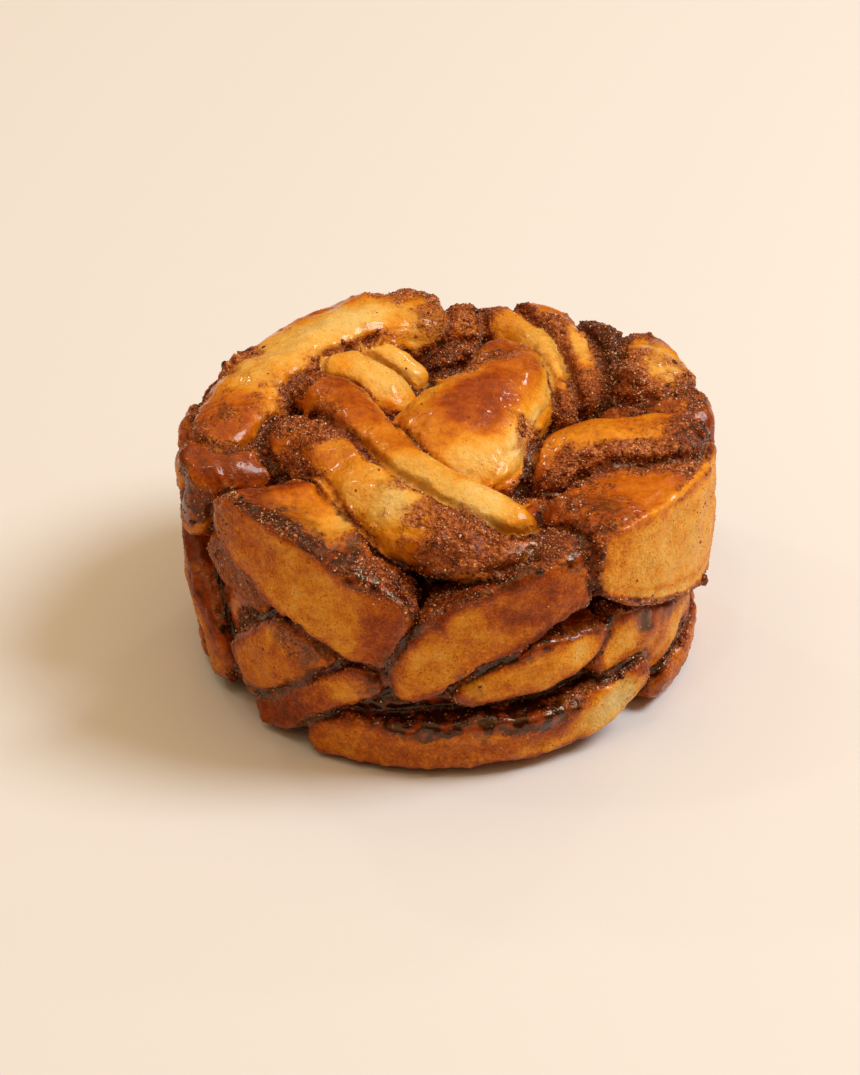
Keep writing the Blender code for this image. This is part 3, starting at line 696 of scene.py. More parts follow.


# Patches on the ribbons, by what they change: place along (0 to 1) and around the section, length
# and width in millimetres, and the value in the patch's middle. Around, 0 is the middle of the
# face, 1 the right side when looking along the ribbon, which is the lower side of a slab, and -1
# the left side. The layer "deep" is painted shade, darkest down in a fold, "merged" is where two
# ribbons have baked into one, and "heap" is where the filling piles up.
PATCHES = {
    "loop": {
        "cinnamon": [
            (0.62, -0.1, 17, 9, 0), (0.84, -0.35, 12, 8, 0), (0.74, -1, 12, 2.4, 0.85),
            (0.45, 0.8, 10, 3, 0.55),
        ],
        "browning": [
            (0.36, -0.65, 13, 4, 0.2), (0.66, -0.66, 16, 5, 0.1), (0.86, -0.38, 10, 7, 0.2),
            (0.3, 0.1, 10, 8, 0.72), (0.44, 0.02, 9, 6, 0.62), (0.56, 0.1, 9, 6, 0.74),
            (0.67, 0.12, 9, 5.5, 0.74), (0.62, -0.14, 12, 5, 0.74), (0.82, 0.3, 8, 5, 0.48),
        ],
        "deep": [(0.5, 0.66, 4.5, 3, 1)],
        "merged": [(0.76, 0.85, 14, 3.5, 1)],
    },
    "crossing": {
        "cinnamon": [
            (0.14, 0.19, 6, 5, 0.95), (0.34, 0.33, 9, 3, 0.55), (0.62, 0, 22, 5, 0),
            (0.98, 0, 4, 7, 0.28), (0.7, 0.8, 22, 2.2, 0.95),
        ],
        "browning": [
            (0.2, -0.19, 8, 6, 0.74), (0.33, -0.19, 9, 5, 0.66), (0.52, 0, 9, 6, 0.52),
            (0.66, 0, 10, 7, 0.24), (0.84, 0, 13, 8, 0.14),
        ],
        "merged": [(0.6, -0.85, 24, 3, 1), (0.45, 0.85, 8, 3, 0.6)],
    },
    "lower_band": {
        "browning": [
            (0.08, 0, 6, 8, 0.82), (0.22, 0.3, 8, 5, 0.68), (0.38, 0.23, 9, 6, 0.52),
            (0.5, 0.05, 14, 8, 0.3), (0.58, -0.1, 6, 4, 0.12),
        ],
        "cinnamon": [
            (0.18, -0.3, 9, 4, 1), (0.8, -0.13, 17, 8, 0.8), (0.8, 0.59, 17, 5, 0.85),
            (0.33, 0.48, 20, 1.6, 0.9),
        ],
        "merged": [(0.45, 0.85, 18, 3, 0.8), (0.85, 0.85, 12, 3, 0.7), (0.42, 0.75, 14, 4, 1)],
        "syrup": [(0.93, 0.1, 6, 4, 0.7), (0.7, 0.95, 10, 3, 0.75)],
    },
    "finger_a": {
        "browning": [(0.4, 0, 14, 9, 0.3), (0.8, 0, 12, 9, 0.2)],
        "cinnamon": [(0.5, 0, 16, 6, 0), (0.85, 0.8, 9, 2, 0.9)],
        "merged": [(0.35, -0.85, 16, 3, 1), (0.4, 0.9, 16, 3, 0.9)],
    },
    "finger_b": {
        "cinnamon": [(0.6, 0, 12, 5, 0)],
        "browning": [(0.7, 0, 12, 6, 0.22)],
        "merged": [(0.4, -0.8, 12, 2.5, 0.6)],
    },
    "hollow_slope": {
        "cinnamon": [(0.6, 0, 20, 12, 0.9)],
        "deep": [(0.8, 0, 9, 8, 0.9)],
    },
    "back_rim": {
        "cinnamon": [(0.5, 0, 14, 9, 0.75)],
    },
    "back_left_arc": {
        "browning": [
            (0.2, 0, 14, 9, 0.64), (0.4, 0.05, 12, 8, 0.28), (0.54, 0.13, 15, 7, 0.18),
            # The first patch on the next line is pale dough with a painted highlight on it.
            (0.7, 0.23, 15, 6, 0.12), (0.72, -0.37, 20, 5, 0.62), (0.93, 0.6, 12, 8, 0.25),
            (0.2, 0.2, 11, 8, 0.7),
        ],
        "cinnamon": [
            (0.6, 0.15, 26, 6, 0), (0.86, -0.26, 10, 6, 0.6), (0.95, 0.3, 9, 8, 0.85),
            (0.38, 0.8, 8, 4, 1), (0.4, -1, 7, 4, 1), (0.18, -1, 10, 4, 1), (0.72, 0.8, 14, 3, 0.9),
            (0.93, 0.6, 8, 6, 0.5), (0.45, -0.45, 6, 4, 1),
        ],
        "merged": [(0.72, 0.85, 20, 3, 0.9), (0.45, 0.95, 12, 3, 0.7)],
        "deep": [(0.93, 0.6, 10, 7, 0.1)],
        "heap": [(0.45, -0.5, 6, 4, 1.6), (0.2, -0.95, 7, 4, 1.6)],
    },
    "arc_inner": {
        "cinnamon": [
            (0.55, 0.06, 22, 5, 0.1), (0.12, 0.19, 6, 5, 0.8), (0.94, 0, 6, 6, 0.75),
            (0.5, -0.8, 24, 2, 0.9),
        ],
        "browning": [(0.55, 0.06, 22, 5, 0.26)],
        "merged": [(0.5, 0.85, 20, 3, 0.7)],
    },
    "arc_outer": {
        "browning": [(0.18, -0.33, 11, 5, 0.54), (0.62, -0.06, 10, 6, 0.26)],
        "cinnamon": [(0.3, 0.49, 16, 4, 0.9), (0.88, 0, 8, 6, 0.65)],
    },
    "dark_ridge": {
        "browning": [(0.55, 0, 26, 9, 0.88)],
        "cinnamon": [(0.6, 0.13, 20, 6, 0.7)],
        "deep": [(0.5, 0, 26, 9, 0.6)],
    },
    "right_back_block": {
        "browning": [(0.64, -0.1, 11, 7, 0.2), (0.4, -0.59, 9, 5, 0.56)],
        "cinnamon": [(0.62, 0.54, 14, 5, 1), (0.92, 0.13, 5, 9, 0.9), (0.14, 0, 5, 9, 0.7)],
    },
    "right_ridge": {
        "browning": [(0.34, -0.08, 13, 4, 0.44), (0.66, 0.02, 9, 3, 0.5), (0.94, 0.2, 7, 8, 0.85)],
        "cinnamon": [
            (0.34, -0.1, 12, 3, 0.2), (0.66, 0.02, 8, 2.5, 0.3), (0.52, 0.5, 26, 4, 1),
            (0.94, 0, 8, 10, 0.95), (0.06, 0, 5, 7, 0.95),
        ],
        "syrup": [(0.95, 0.2, 6, 7, 0.5), (0.9, -0.2, 4, 5, 0.75)],
    },
    "right_front_slab": {
        "browning": [
            (0.45, 0.05, 40, 14, 0.33), (0.08, -0.85, 6, 5, 0.76), (0.22, -1.05, 8, 6, 0.66),
            (0.37, -0.85, 9, 6, 0.55), (0.45, -0.58, 34, 2, 0.4), (0.45, 0.26, 34, 1.2, 0.48),
            (0.45, 0.4, 36, 1.8, 0.26),
        ],
        "cinnamon": [
            (0.2, -1.05, 6, 4, 0.42), (0.37, -0.85, 8, 5, 0.05), (0.64, -1.1, 9, 7, 0.85),
            (0.35, 0.62, 30, 3, 0.8), (0.45, -0.56, 30, 1.6, 0.1),
        ],
        "syrup": [(0.14, -1, 4, 3, 0.6), (0.6, -1, 5, 3, 0.55)],
    },
    "front_left_slab": {
        "browning": [
            (0.65, 0.15, 19, 8, 0.42), (0.14, -0.15, 9, 6, 0.56), (0.32, -1.05, 8, 4, 0.5),
            (0.48, -0.98, 7, 4, 0.38), (0.53, -1.15, 5, 3, 0.18), (0.38, -0.66, 20, 3.2, 0.9),
            (0.76, -0.55, 12, 5, 0.8), (0.9, -0.25, 6, 5, 0.68), (0.92, -0.05, 6, 5, 0.74),
            (0.98, 0.45, 5, 6, 0.8), (0.3, -0.02, 9, 6, 0.55),
        ],
        "cinnamon": [
            (0.12, -0.1, 7, 6, 0.45), (0.32, -1.02, 6, 2.5, 0.15), (0.47, -0.98, 6, 3, 0.1),
            (0.38, -0.66, 20, 3.2, 1), (0.76, -0.62, 13, 6, 0.9), (0.6, 0.1, 16, 6, 0),
        ],
        "syrup": [
            (0.98, 0.5, 4, 5, 0.8), (0.38, -0.72, 14, 3.4, 0.5), (0.62, -0.8, 4, 3, 0.85),
            (0.78, -0.55, 4.5, 3, 0.85), (0.9, -0.7, 4, 4, 0.7),
        ],
        "merged": [(0.5, -1.5, 16, 4, 0.8), (0.48, -1.25, 12, 3.5, 1)],
        "deep": [(0.38, -0.76, 17, 3.2, 0.75)],
    },
    "front_middle_slab": {
        "browning": [(0.5, -0.75, 36, 5.5, 0.88), (0.28, 0.25, 16, 6, 0.48), (0.78, 0.05, 12, 6, 0.68)],
        "cinnamon": [(0.55, -0.8, 30, 4.5, 0.75)],
        "syrup": [
            (0.48, -0.6, 26, 3, 0.5), (0.84, 0.6, 10, 3, 0.4), (0.88, -0.3, 4, 3, 0.75),
            (0.62, -0.55, 5, 2.4, 0.8), (0.25, -0.62, 4, 2.4, 0.8),
        ],
    },
    "front_lower_fold": {
        "browning": [(0.5, 0.13, 14, 5, 0.46), (0.76, 0, 5, 3, 0.3)],
        "syrup": [(0.4, -0.71, 18, 2.5, 0.9), (0.12, 0, 5, 6, 0.5)],
    },
    "right_low_slab": {
        "browning": [(0.36, -0.37, 14, 5, 0.68), (0.4, 0.41, 16, 4, 0.52)],
        "syrup": [(0.36, -0.41, 12, 4, 0.42), (0.28, -0.3, 4, 2.6, 0.9)],
    },
    "left_low_slab": {
        "browning": [(0.4, 0.06, 14, 6, 0.52)],
        "cinnamon": [(0.75, -0.13, 7, 5, 0.6), (0.4, -0.8, 18, 2.5, 0.9)],
        "syrup": [(0.8, -0.13, 6, 5, 0.6)],
    },
    "left_foot_fold": {
        "browning": [(0.4, 0.13, 20, 4, 0.58), (0.3, 0.1, 14, 5, 0.78)],
        "cinnamon": [(0.4, -0.59, 20, 3, 0.8)],
        "syrup": [(0.92, 0, 7, 6, 0.6)],
    },
    "left_tucked_fold": {
        "browning": [(0.5, 0, 22, 7, 0.74)],
        "cinnamon": [(0.5, -0.13, 20, 6, 0.6)],
        "syrup": [(0.4, -0.3, 6, 4, 0.6)],
    },
    "left_high_flank": {
        "browning": [(0.04, -0.41, 6, 5, 0.56), (0.06, 0.2, 7, 6, 0.6), (0.06, -0.5, 7, 4, 0.5)],
        "cinnamon": [(0.14, 0, 9, 7, 0.85), (0.14, -0.6, 5, 3, 0.3)],
        "syrup": [(0.1, -0.13, 6, 5, 0.7), (0.2, 0.3, 5, 4, 0.6)],
    },
    "left_low_flank": {
        "browning": [(0.1, 0, 8, 8, 0.6)],
        "syrup": [(0.5, -0.71, 30, 3, 0.6)],
    },
    "front_foot": {
        "browning": [
            (0.3, 0.13, 26, 4, 0.6), (0.13, 0, 7, 4, 0.5), (0.66, -0.19, 9, 3, 0.78),
            (0.83, 0.19, 9, 6, 0.24), (0.86, 0.1, 8, 6, 0.08),
        ],
        "syrup": [(0.34, -0.54, 13, 3.4, 0.95), (0.6, -0.5, 16, 3.8, 0.95)],
        "cinnamon": [(0.83, 0.19, 9, 6, 0), (0.3, 0, 30, 6, 0.3)],
    },
    "right_foot": {
        "browning": [(0.1, 0, 8, 5, 0.62)],
        "syrup": [(0.05, 0.13, 4, 4, 0.7)],
    },
}


# How the names of the slabs begin, and the ribbons at the foot
SLABS = ("front_", "right_front", "right_low", "left_", "back_upper", "back_lower")
FOOT = ("front_foot", "right_foot", "back_foot", "left_foot")

# Sums of clouds: how strong each is, its size in millimetres and its seed
PATCH_EDGE = ((0.25, 3.2, 71), (0.12, 1.1, 72))
UNEVEN_BAKE = ((0.12, 11.0, 1), (0.07, 3.5, 2))
CINNAMON_PATCHES = ((0.62, 8.0, 11), (0.28, 2.6, 12))
DOUGH_LUMPS = ((0.48, 7.0, 31), (0.23, 2.8, 32))
FOOT_LUMPS = ((0.34, 3.2, 42), (0.16, 1.5, 43))
# Size and seed of the clouds that heap up the filling
HEAPS = (4.5, 61)
# The browning of plain dough, and the darkest that the rules make it before the patches
BAKE = 0.42
DARKEST_BAKE = 0.80


def clouds(points, rows):
    return sum(strength * cloud(points, size, seed) for strength, size, seed in rows)


def patched(surface, cover):
    """Lays the named patches over the covers, each with a ragged edge."""
    ragged = clouds(surface.points, PATCH_EDGE)
    lie = surface.lie
    for ribbon_name, layers in PATCHES.items():
        owned = np.flatnonzero(surface.is_ribbon(ribbon_name))
        for layer, rows in layers.items():
            values = cover[layer]
            for share, around, long, wide, amount in rows:
                ahead = (lie.share[owned] - share) * lie.length[owned] / long
                aside = (lie.around[owned] - around) * AROUND_WIDTH * lie.width[owned] / wide
                reach = 1.0 - np.hypot(ahead, aside)
                if layer == "browning":
                    mask = smoothstep(reach + 0.5 * ragged[owned], -0.05, 0.85)
                else:
                    mask = smoothstep(reach + ragged[owned], 0.0, 0.55)
                values[owned] += (amount - values[owned]) * mask


def browning(surface):
    """How brown the bare dough is: 0 pale, 0.5 golden, 1 nearly black."""
    crest = np.clip(-surface.relief[2], -1.0, 1.0)
    up = np.clip(surface.normals[:, 2], 0.0, 1.0)
    shade = BAKE + 0.14 * crest * up + 0.10 * (1.0 - smoothstep(surface.seam, 0.5, 3.0))
    shade += clouds(surface.points, UNEVEN_BAKE)
    shade += 0.20 * smoothstep(-surface.relief[1], 0.06, 0.30)
    slabs = surface.is_ribbon(*SLABS)
    face_edge = smoothstep(np.abs(surface.lie.around), 0.22, 0.62)
    face_end = smoothstep(np.abs(surface.lie.share - 0.5), 0.26, 0.48)
    shade += slabs * (0.20 * face_edge + 0.16 * face_end + 0.16 * cloud(surface.points, 6.0, 3) + 0.08)
    return np.minimum(shade, DARKEST_BAKE)


def painted_shade_of_folds(surface):
    """Painted shade for the folds: how deep a point lies between the ribbons and near their seams, 0 in
    the open, 1 down in a fold.
    """
    near = 1.0 - smoothstep(surface.seam, 0.3, 1.6)
    return np.clip(smoothstep(surface.relief[2], 0.35, 1.3) + 0.35 * near, 0.0, 1.0)


def pressed_wall(surface):
    """Where the ring pressed the dough flat."""
    touching = smoothstep(-surface.from_ring, -2.0, -0.6)
    return touching * smoothstep(surface.outward, 0.82, 0.97)


def cinnamon_cover(surface, pressed):
    """Where the cinnamon sugar lies: along the seams, in the creases, on the slabs' upper edges."""
    points, around = surface.points, surface.lie.around
    reach = 2.6 + 1.9 * cloud(points, 5.5, 13)
    kept = 0.45 + 0.55 * smoothstep(cloud(points, 7.0, 14), -0.5, 0.3)
    near = (1.0 - smoothstep(surface.seam / np.maximum(reach, 0.5), 0.3, 1.1)) * kept
    creases = 0.8 * smoothstep(surface.relief[1], 0.04, 0.32)
    creases = creases + 0.5 * smoothstep(surface.relief[2], 0.2, 0.8)
    slabs = surface.is_ribbon(*SLABS)
    upper_edge = np.exp(-(((around + 0.68) / 0.22) ** 2)) * slabs
    top = slabs * smoothstep(-around, 0.7, 1.0)
    cover = 0.75 * near + creases + clouds(points, CINNAMON_PATCHES) + 0.10
    cover = cover + 0.55 * upper_edge + 0.20 * top
    return np.clip(cover - 0.55 * pressed * smoothstep(surface.seam, 0.5, 1.5), 0.0, 1.0)


def syrup_cover(surface, cinnamon):
    """Where syrup has run together: the deep folds low on the side, and pools in the crust."""
    low = smoothstep(-surface.points[:, 2], -36.0, -14.0)
    near = 1.0 - smoothstep(surface.seam, 0.3, 2.4)
    deep = smoothstep(surface.relief[2], 0.20, 0.8) + 0.5 * smoothstep(surface.relief[1], 0.08, 0.35)
    spread = 0.36 * cloud(surface.points, 4.0, 21)
    pools = smoothstep(cloud(surface.points, 4.6, 22), 0.28, 0.62) * cinnamon
    pools *= smoothstep(-surface.points[:, 2], -46.0, -34.0)
    return np.clip((deep + 0.6 * near) * (0.25 + 0.75 * low) + spread + 0.8 * pools, 0.0, 1.0)


def filling_lumps(points, heap):
    """The pebbled filling: large and small pebbles, clods, and heaps where it has piled up."""
    lumps = 0.75 * (0.50 - pebbles(points, 2.2, 34)) + 0.34 * (0.55 - pebbles(points, 1.0, 37))
    lumps += 0.34 * cloud(points, 1.7, 35) + 0.12
    return lumps + heap * (1.0 - 0.6 * pebbles(points, 1.8, 41))


def roughened(surface, cover):
    """The surface's points, raised and sunk by dough, layers, filling, syrup, tears and seams."""
    lie, points = surface.lie, surface.points
    cinnamon, syrup, merged = cover["cinnamon"], cover["syrup"], cover["merged"]
    layers = np.column_stack((lie.along / 6.0, lie.around * AROUND_WIDTH * lie.width, lie.which * 9.0))
    sides = np.exp(-(((np.abs(lie.around) - 0.95) / 0.35) ** 2))
    rise = clouds(points, DOUGH_LUMPS)
    rise += (0.09 + 0.28 * sides) * (1.0 - 0.5 * cinnamon) * cloud(layers, 1.1, 33)
    rise += cinnamon * (1.0 - 0.85 * syrup) * filling_lumps(points, cover["heap"])
    rise += syrup * (0.50 * cloud(points, 4.0, 39) + 0.25)
    rise += surface.is_ribbon(*FOOT) * clouds(points, FOOT_LUMPS)
    rise -= 0.10 * cover["pressed"] * smoothstep(cloud(points, 1.2, 36), 0.25, 0.9)
    torn = smoothstep(cloud(points, 2.3, 38), 0.0, 0.8) * (1.0 - smoothstep(surface.seam, 0.8, 2.8))
    rise -= 0.65 * torn * (1.0 - syrup) * (1.0 - merged)
    groove = SEAM_DEPTH * (1.0 + 0.6 * cloud(points, 6.0, 40)) * (1.0 - 0.6 * syrup) * (1.0 - 0.9 * merged)
    rise -= groove * np.exp(-((surface.seam / SEAM_WIDTH) ** 2))
    crease, hollow = (np.maximum(surface.relief[scale], 0.0) for scale in (1, 2))
    fill = syrup * crease + merged * (crease + 0.4 * hollow)
    low = smoothstep(points[:, 2], 0.3, 1.6)
    return points + surface.normals * ((rise + 0.8 * fill) * low)[:, None]


def give_attributes(data, covers):
    for name, values in covers.items():
        attribute = data.attributes.new(name, "FLOAT", "POINT")
        attribute.data.foreach_set("value", values.astype(np.float32))


def attribute_of(data, name):
    return read(data.attributes[name].data, "value").astype(float)


class Shader:
    """A Principled material that is put together from small node chains."""

    def __init__(self, name):
        self.material = bpy.data.materials.new(name)
        self.material.use_nodes = True
        self.tree = self.material.node_tree
        self.surface = self.tree.nodes["Principled BSDF"]
        self.place = self.add("ShaderNodeTexCoord").outputs["Object"]

    def add(self, kind, values=None, **settings):
        """A node with its settings and the values of its inputs."""
        made = self.tree.nodes.new(kind)
        for key, value in settings.items():
            setattr(made, key, value)
        for key, value in (values or {}).items():
            self.feed(made.inputs[key], value)
        return made

    def feed(self, socket, value):
        """Puts a node's output, or a plain value, into an input."""
        if isinstance(value, bpy.types.NodeSocket):
            self.tree.links.new(value, socket)
        else:
            socket.default_value = value

    def attribute(self, name):
        return self.add("ShaderNodeAttribute", attribute_name=name).outputs["Fac"]

    def math(self, operation, *values):
        return self.add("ShaderNodeMath", dict(enumerate(values)), operation=operation).outputs[0]

    def noise(self, size, detail):
        """Noise from 0 to 1 with features of a size in millimetres."""
        values = {"Vector": self.place, "Scale": 1.0 / (size * MM), "Detail": detail}
        return self.add("ShaderNodeTexNoise", values).outputs["Fac"]

    def dots(self, size):
        """Distance to scattered points, as a share of their spacing in millimetres."""
        values = {"Vector": self.place, "Scale": 1.0 / (size * MM)}
        return self.add("ShaderNodeTexVoronoi", values).outputs["Distance"]

    def between(self, value, low, high):
        """value brought to 0 at low and 1 at high, smoothly."""
        values = {"Value": value, "From Min": low, "From Max": high}
        made = self.add("ShaderNodeMapRange", values, interpolation_type="SMOOTHSTEP")
        return made.outputs["Result"]

    def ramp(self, value, stops):
        made = self.add("ShaderNodeValToRGB", {"Fac": value})
        elements = made.color_ramp.elements
        while len(elements) < len(stops):
            elements.new(0.5)
        for element, (position, colour) in zip(elements, stops):
            element.position = position
            element.color = rgba(colour)
        return made.outputs["Color"]

    def mix(self, share, first, second):
        values = {0: share, 6: first, 7: second}
        return self.add("ShaderNodeMix", values, data_type="RGBA").outputs[2]

    def blend(self, share, first, second):
        """A number between first and second."""
        values = {0: share, 2: first, 3: second}
        return self.add("ShaderNodeMix", values, data_type="FLOAT").outputs[0]

    def bump(self, height, depth):
        """Relief of a depth in millimetres."""
        values = {"Strength": 1.0, "Distance": depth * MM, "Height": height}
        self.set("Normal", self.add("ShaderNodeBump", values).outputs["Normal"])

    def set(self, name, value):
        self.feed(self.surface.inputs[name], value)


def linear(colour):
    """Linear values of a colour written as 0 to 255 per channel."""
    shares = [channel / 255.0 for channel in colour]
    return [c / 12.92 if c <= 0.04045 else ((c + 0.055) / 1.055) ** 2.4 for c in shares]


def rgba(colour):
    return (*linear(colour), 1.0)


DOUGH_COLOURS = (
    (0.00, (242, 212, 138)),
    (0.20, (243, 186, 84)),
    (0.40, (238, 151, 24)),
    (0.56, (208, 107, 6)),
    (0.72, (164, 64, 5)),
    (0.88, (104, 36, 10)),
    (1.00, (52, 14, 5)),
)
CINNAMON_COLOURS = (
    (0.22, (64, 17, 5)),
    (0.42, (128, 50, 15)),
    (0.58, (178, 88, 32)),
    (0.76, (226, 142, 70)),
)
SPECK = (132, 50, 12)
SYRUP = (36, 5, 1)
THIN_SYRUP = (160, 58, 10)
# Painted shade: the dark colour that the folds are turned towards.
PAINTED_FOLD_SHADE = (48, 9, 3)
# Warm tints of what the wet surfaces mirror, as linear shares
BUN_TINT = (1.0, 0.74, 0.46, 1.0)
GRAIN_TINT = (1.0, 0.80, 0.58, 1.0)
# Sizes in millimetres of the material's fine variations
FINE, FINEST, MOTTLE, SPECKS, SPECK_GROUPS = 1.3, 0.5, 3.4, 0.50, 1.8
CRUST_TONES, SYRUP_TONES = 0.9, 2.2
BUMP_DEPTH = 0.28


def dough_colour(s, bake, pressed):
    """The dough by its browning, glazed dark beside the cinnamon and with small specks."""
    dough = s.ramp(bake, DOUGH_COLOURS)
    glazed = s.ramp(s.math("MULTIPLY_ADD", s.noise(CRUST_TONES, 3.0), 0.9, 0.16), DOUGH_COLOURS)
    speck = s.between(s.dots(SPECKS), 0.42, 0.18)
    speck = s.math("MULTIPLY", speck, s.between(s.noise(SPECK_GROUPS, 4.0), 0.42, 0.66))
    speck = s.math("MULTIPLY", speck, s.blend(pressed, 0.35, 0.75))
    dough = s.mix(speck, dough, rgba(SPECK))
    near_cinnamon = s.between(s.attribute("cinnamon"), 0.05, 0.60)
    return s.mix(s.math("MULTIPLY", near_cinnamon, 0.75), dough, glazed)


def crust_colour(s, deep):
    """The cinnamon crust, darker where the dough is browner, and darkened down in the folds as painted
    shade.
    """
    pale = s.math("MULTIPLY_ADD", s.attribute("browning"), -0.45, 0.24)
    # Painted shade: the crust is made darker down in the folds.
    pale = s.math("MULTIPLY_ADD", deep, -0.22, pale)
    return s.ramp(s.math("ADD", s.noise(CRUST_TONES, 3.0), pale), CINNAMON_COLOURS)


def bun_material():
    """Dough, with the cinnamon crust, the syrup and painted shade in the folds over it in turn."""
    s = Shader("baked_dough")
    pressed, deep = s.attribute("pressed"), s.attribute("deep")
    fine, finest = s.noise(FINE, 3.0), s.noise(FINEST, 2.0)
    uneven = s.math("MULTIPLY_ADD", fine, 0.30, -0.15)
    grainy = s.math("SUBTRACT", finest, 0.5)
    uneven = s.math("MULTIPLY_ADD", grainy, s.blend(pressed, 0.10, 0.34), uneven)
    mottle = s.math("SUBTRACT", s.noise(MOTTLE, 4.0), 0.5)
    mottle = s.math("MULTIPLY", mottle, s.blend(pressed, 0.16, 0.46))
    bake = s.math("ADD", s.math("ADD", s.attribute("browning"), uneven), mottle)
    ragged = s.math("ADD", s.math("MULTIPLY", finest, 0.9), s.math("MULTIPLY_ADD", fine, 0.8, -0.85))
    cover = s.between(s.math("ADD", s.attribute("cinnamon"), ragged), 0.26, 0.80)
    colour = s.mix(cover, dough_colour(s, bake, pressed), crust_colour(s, deep))
    wet = s.between(s.math("ADD", s.attribute("syrup"), s.math("ADD", uneven, mottle)), 0.26, 0.92)
    syrup = s.mix(s.between(s.noise(SYRUP_TONES, 2.0), 0.46, 0.72), rgba(SYRUP), rgba(THIN_SYRUP))
    colour = s.mix(s.math("MULTIPLY", wet, 0.93), colour, syrup)
    # Painted shade: the base colour darkens down in the folds.
    s.set("Base Color", s.mix(s.math("MULTIPLY", deep, 0.65), colour, rgba(PAINTED_FOLD_SHADE)))
    rough = s.blend(cover, s.math("MULTIPLY_ADD", fine, 0.30, 0.12), 0.24)
    rough = s.blend(s.math("MULTIPLY", pressed, 0.8), rough, 0.50)
    s.set("Roughness", s.blend(wet, rough, 0.10))
    s.set("Coat Weight", s.blend(cover, s.blend(pressed, 0.38, 0.05), 0.06))
    s.set("Coat Roughness", 0.10)
    s.set("Specular IOR Level", s.blend(wet, s.blend(cover, 0.30, 0.42), 0.60))
    s.set("Specular Tint", BUN_TINT)
    height = s.math("MULTIPLY", finest, s.blend(cover, s.blend(pressed, 0.45, 1.3), 1.7))
    height = s.math("ADD", height, fine)
    s.bump(s.math("MULTIPLY", height, s.blend(wet, 1.0, 0.25)), BUMP_DEPTH)
    return s.material


def crumb_material(name, stops, rough, coat):
    """Small grains, each with its own tone."""
    s = Shader(name)
    s.set("Base Color", s.ramp(s.attribute("tone"), stops))
    s.set("Roughness", rough)
    s.set("Coat Weight", coat)
    s.set("Coat Roughness", 0.06)
    s.set("Specular IOR Level", 0.5)
    s.set("Specular Tint", GRAIN_TINT)
    return s.material


def octahedron():
    corners = np.array(((1, 0, 0), (-1, 0, 0), (0, 1, 0), (0, -1, 0), (0, 0, 1), (0, 0, -1)), float)
    faces = np.array(
        ((0, 2, 4), (2, 1, 4), (1, 3, 4), (3, 0, 4), (2, 0, 5), (1, 2, 5), (3, 1, 5), (0, 3, 5))
    )
    return corners, faces


def icosahedron(splits):
    mesh = bmesh.new()
    bmesh.ops.create_icosphere(mesh, subdivisions=splits, radius=1.0)
    corners = np.array([vert.co for vert in mesh.verts])
    faces = np.array([[vert.index for vert in face.verts] for face in mesh.faces])
    mesh.free()
    return corners, faces


def random_turns(draw, count):
    """Random rotation matrices."""
    q = unit(draw.normal(size=(count, 4)))
    w, x, y, z = q.T
    return np.stack(
        (
            1 - 2 * (y * y + z * z), 2 * (x * y - z * w), 2 * (x * z + y * w),
            2 * (x * y + z * w), 1 - 2 * (x * x + z * z), 2 * (y * z - x * w),
            2 * (x * z - y * w), 2 * (y * z + x * w), 1 - 2 * (x * x + y * y),
        ),
        axis=-1,
    ).reshape(count, 3, 3)


def scattered(name, skin, weight, count, sizes, form, sunk, seed, tones=None):
    """Grains of random size and turn, set on the skin where weight is high, as one mesh."""
    draw = np.random.default_rng(seed)
    points = points_of(skin.data)
    triangles = triangles_of(skin.data)
    corners = points[triangles]
    sides = np.cross(corners[:, 1] - corners[:, 0], corners[:, 2] - corners[:, 0])
    area = np.linalg.norm(sides, axis=1)
    chance = area * weight[triangles].mean(axis=1)
    chosen = draw.choice(len(triangles), size=count, p=chance / chance.sum())
    shares = draw.dirichlet((1.0, 1.0, 1.0), size=count)
    places = (corners[chosen] * shares[..., None]).sum(axis=1)
    outwards = unit(sides[chosen])
    small, large = sizes
    radii = small * (large / small) ** (draw.random(count) ** 2.2)
    places = places + outwards * (radii * (1.0 - 2.0 * sunk))[:, None]
    places[:, 2] = np.maximum(places[:, 2], radii)
    corner, face = form
    stretched = corner[None] * draw.uniform(0.65, 1.25, size=(count, 1, 3))
    stretched = stretched * draw.uniform(0.8, 1.15, size=(count, len(corner), 1))
    turned = np.einsum("nij,nkj->nki", random_turns(draw, count), stretched)
    grains = turned * radii[:, None, None] + places[:, None]
    faces = face[None] + (np.arange(count) * len(corner))[:, None, None]
    data = mesh_from(name, grains.reshape(-1, 3), [faces.reshape(-1, 3)])
    tone = draw.random(count)
    if tones is not None:
        tone = tones[triangles[chosen]].mean(axis=1) + 0.34 * (tone - 0.55)
    give_attributes(data, {"tone": np.repeat(tone, len(corner))})
    return linked_object(name, data)


def triangles_of(data):
    data.calc_loop_triangles()
    return read(data.loop_triangles, "vertices", 3, np.int32)


def ride_along(obj, material):
    """Gives a piece its material and the bun's body."""
    obj.data.materials.clear()
    obj.data.materials.append(material)
    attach(obj, "root")


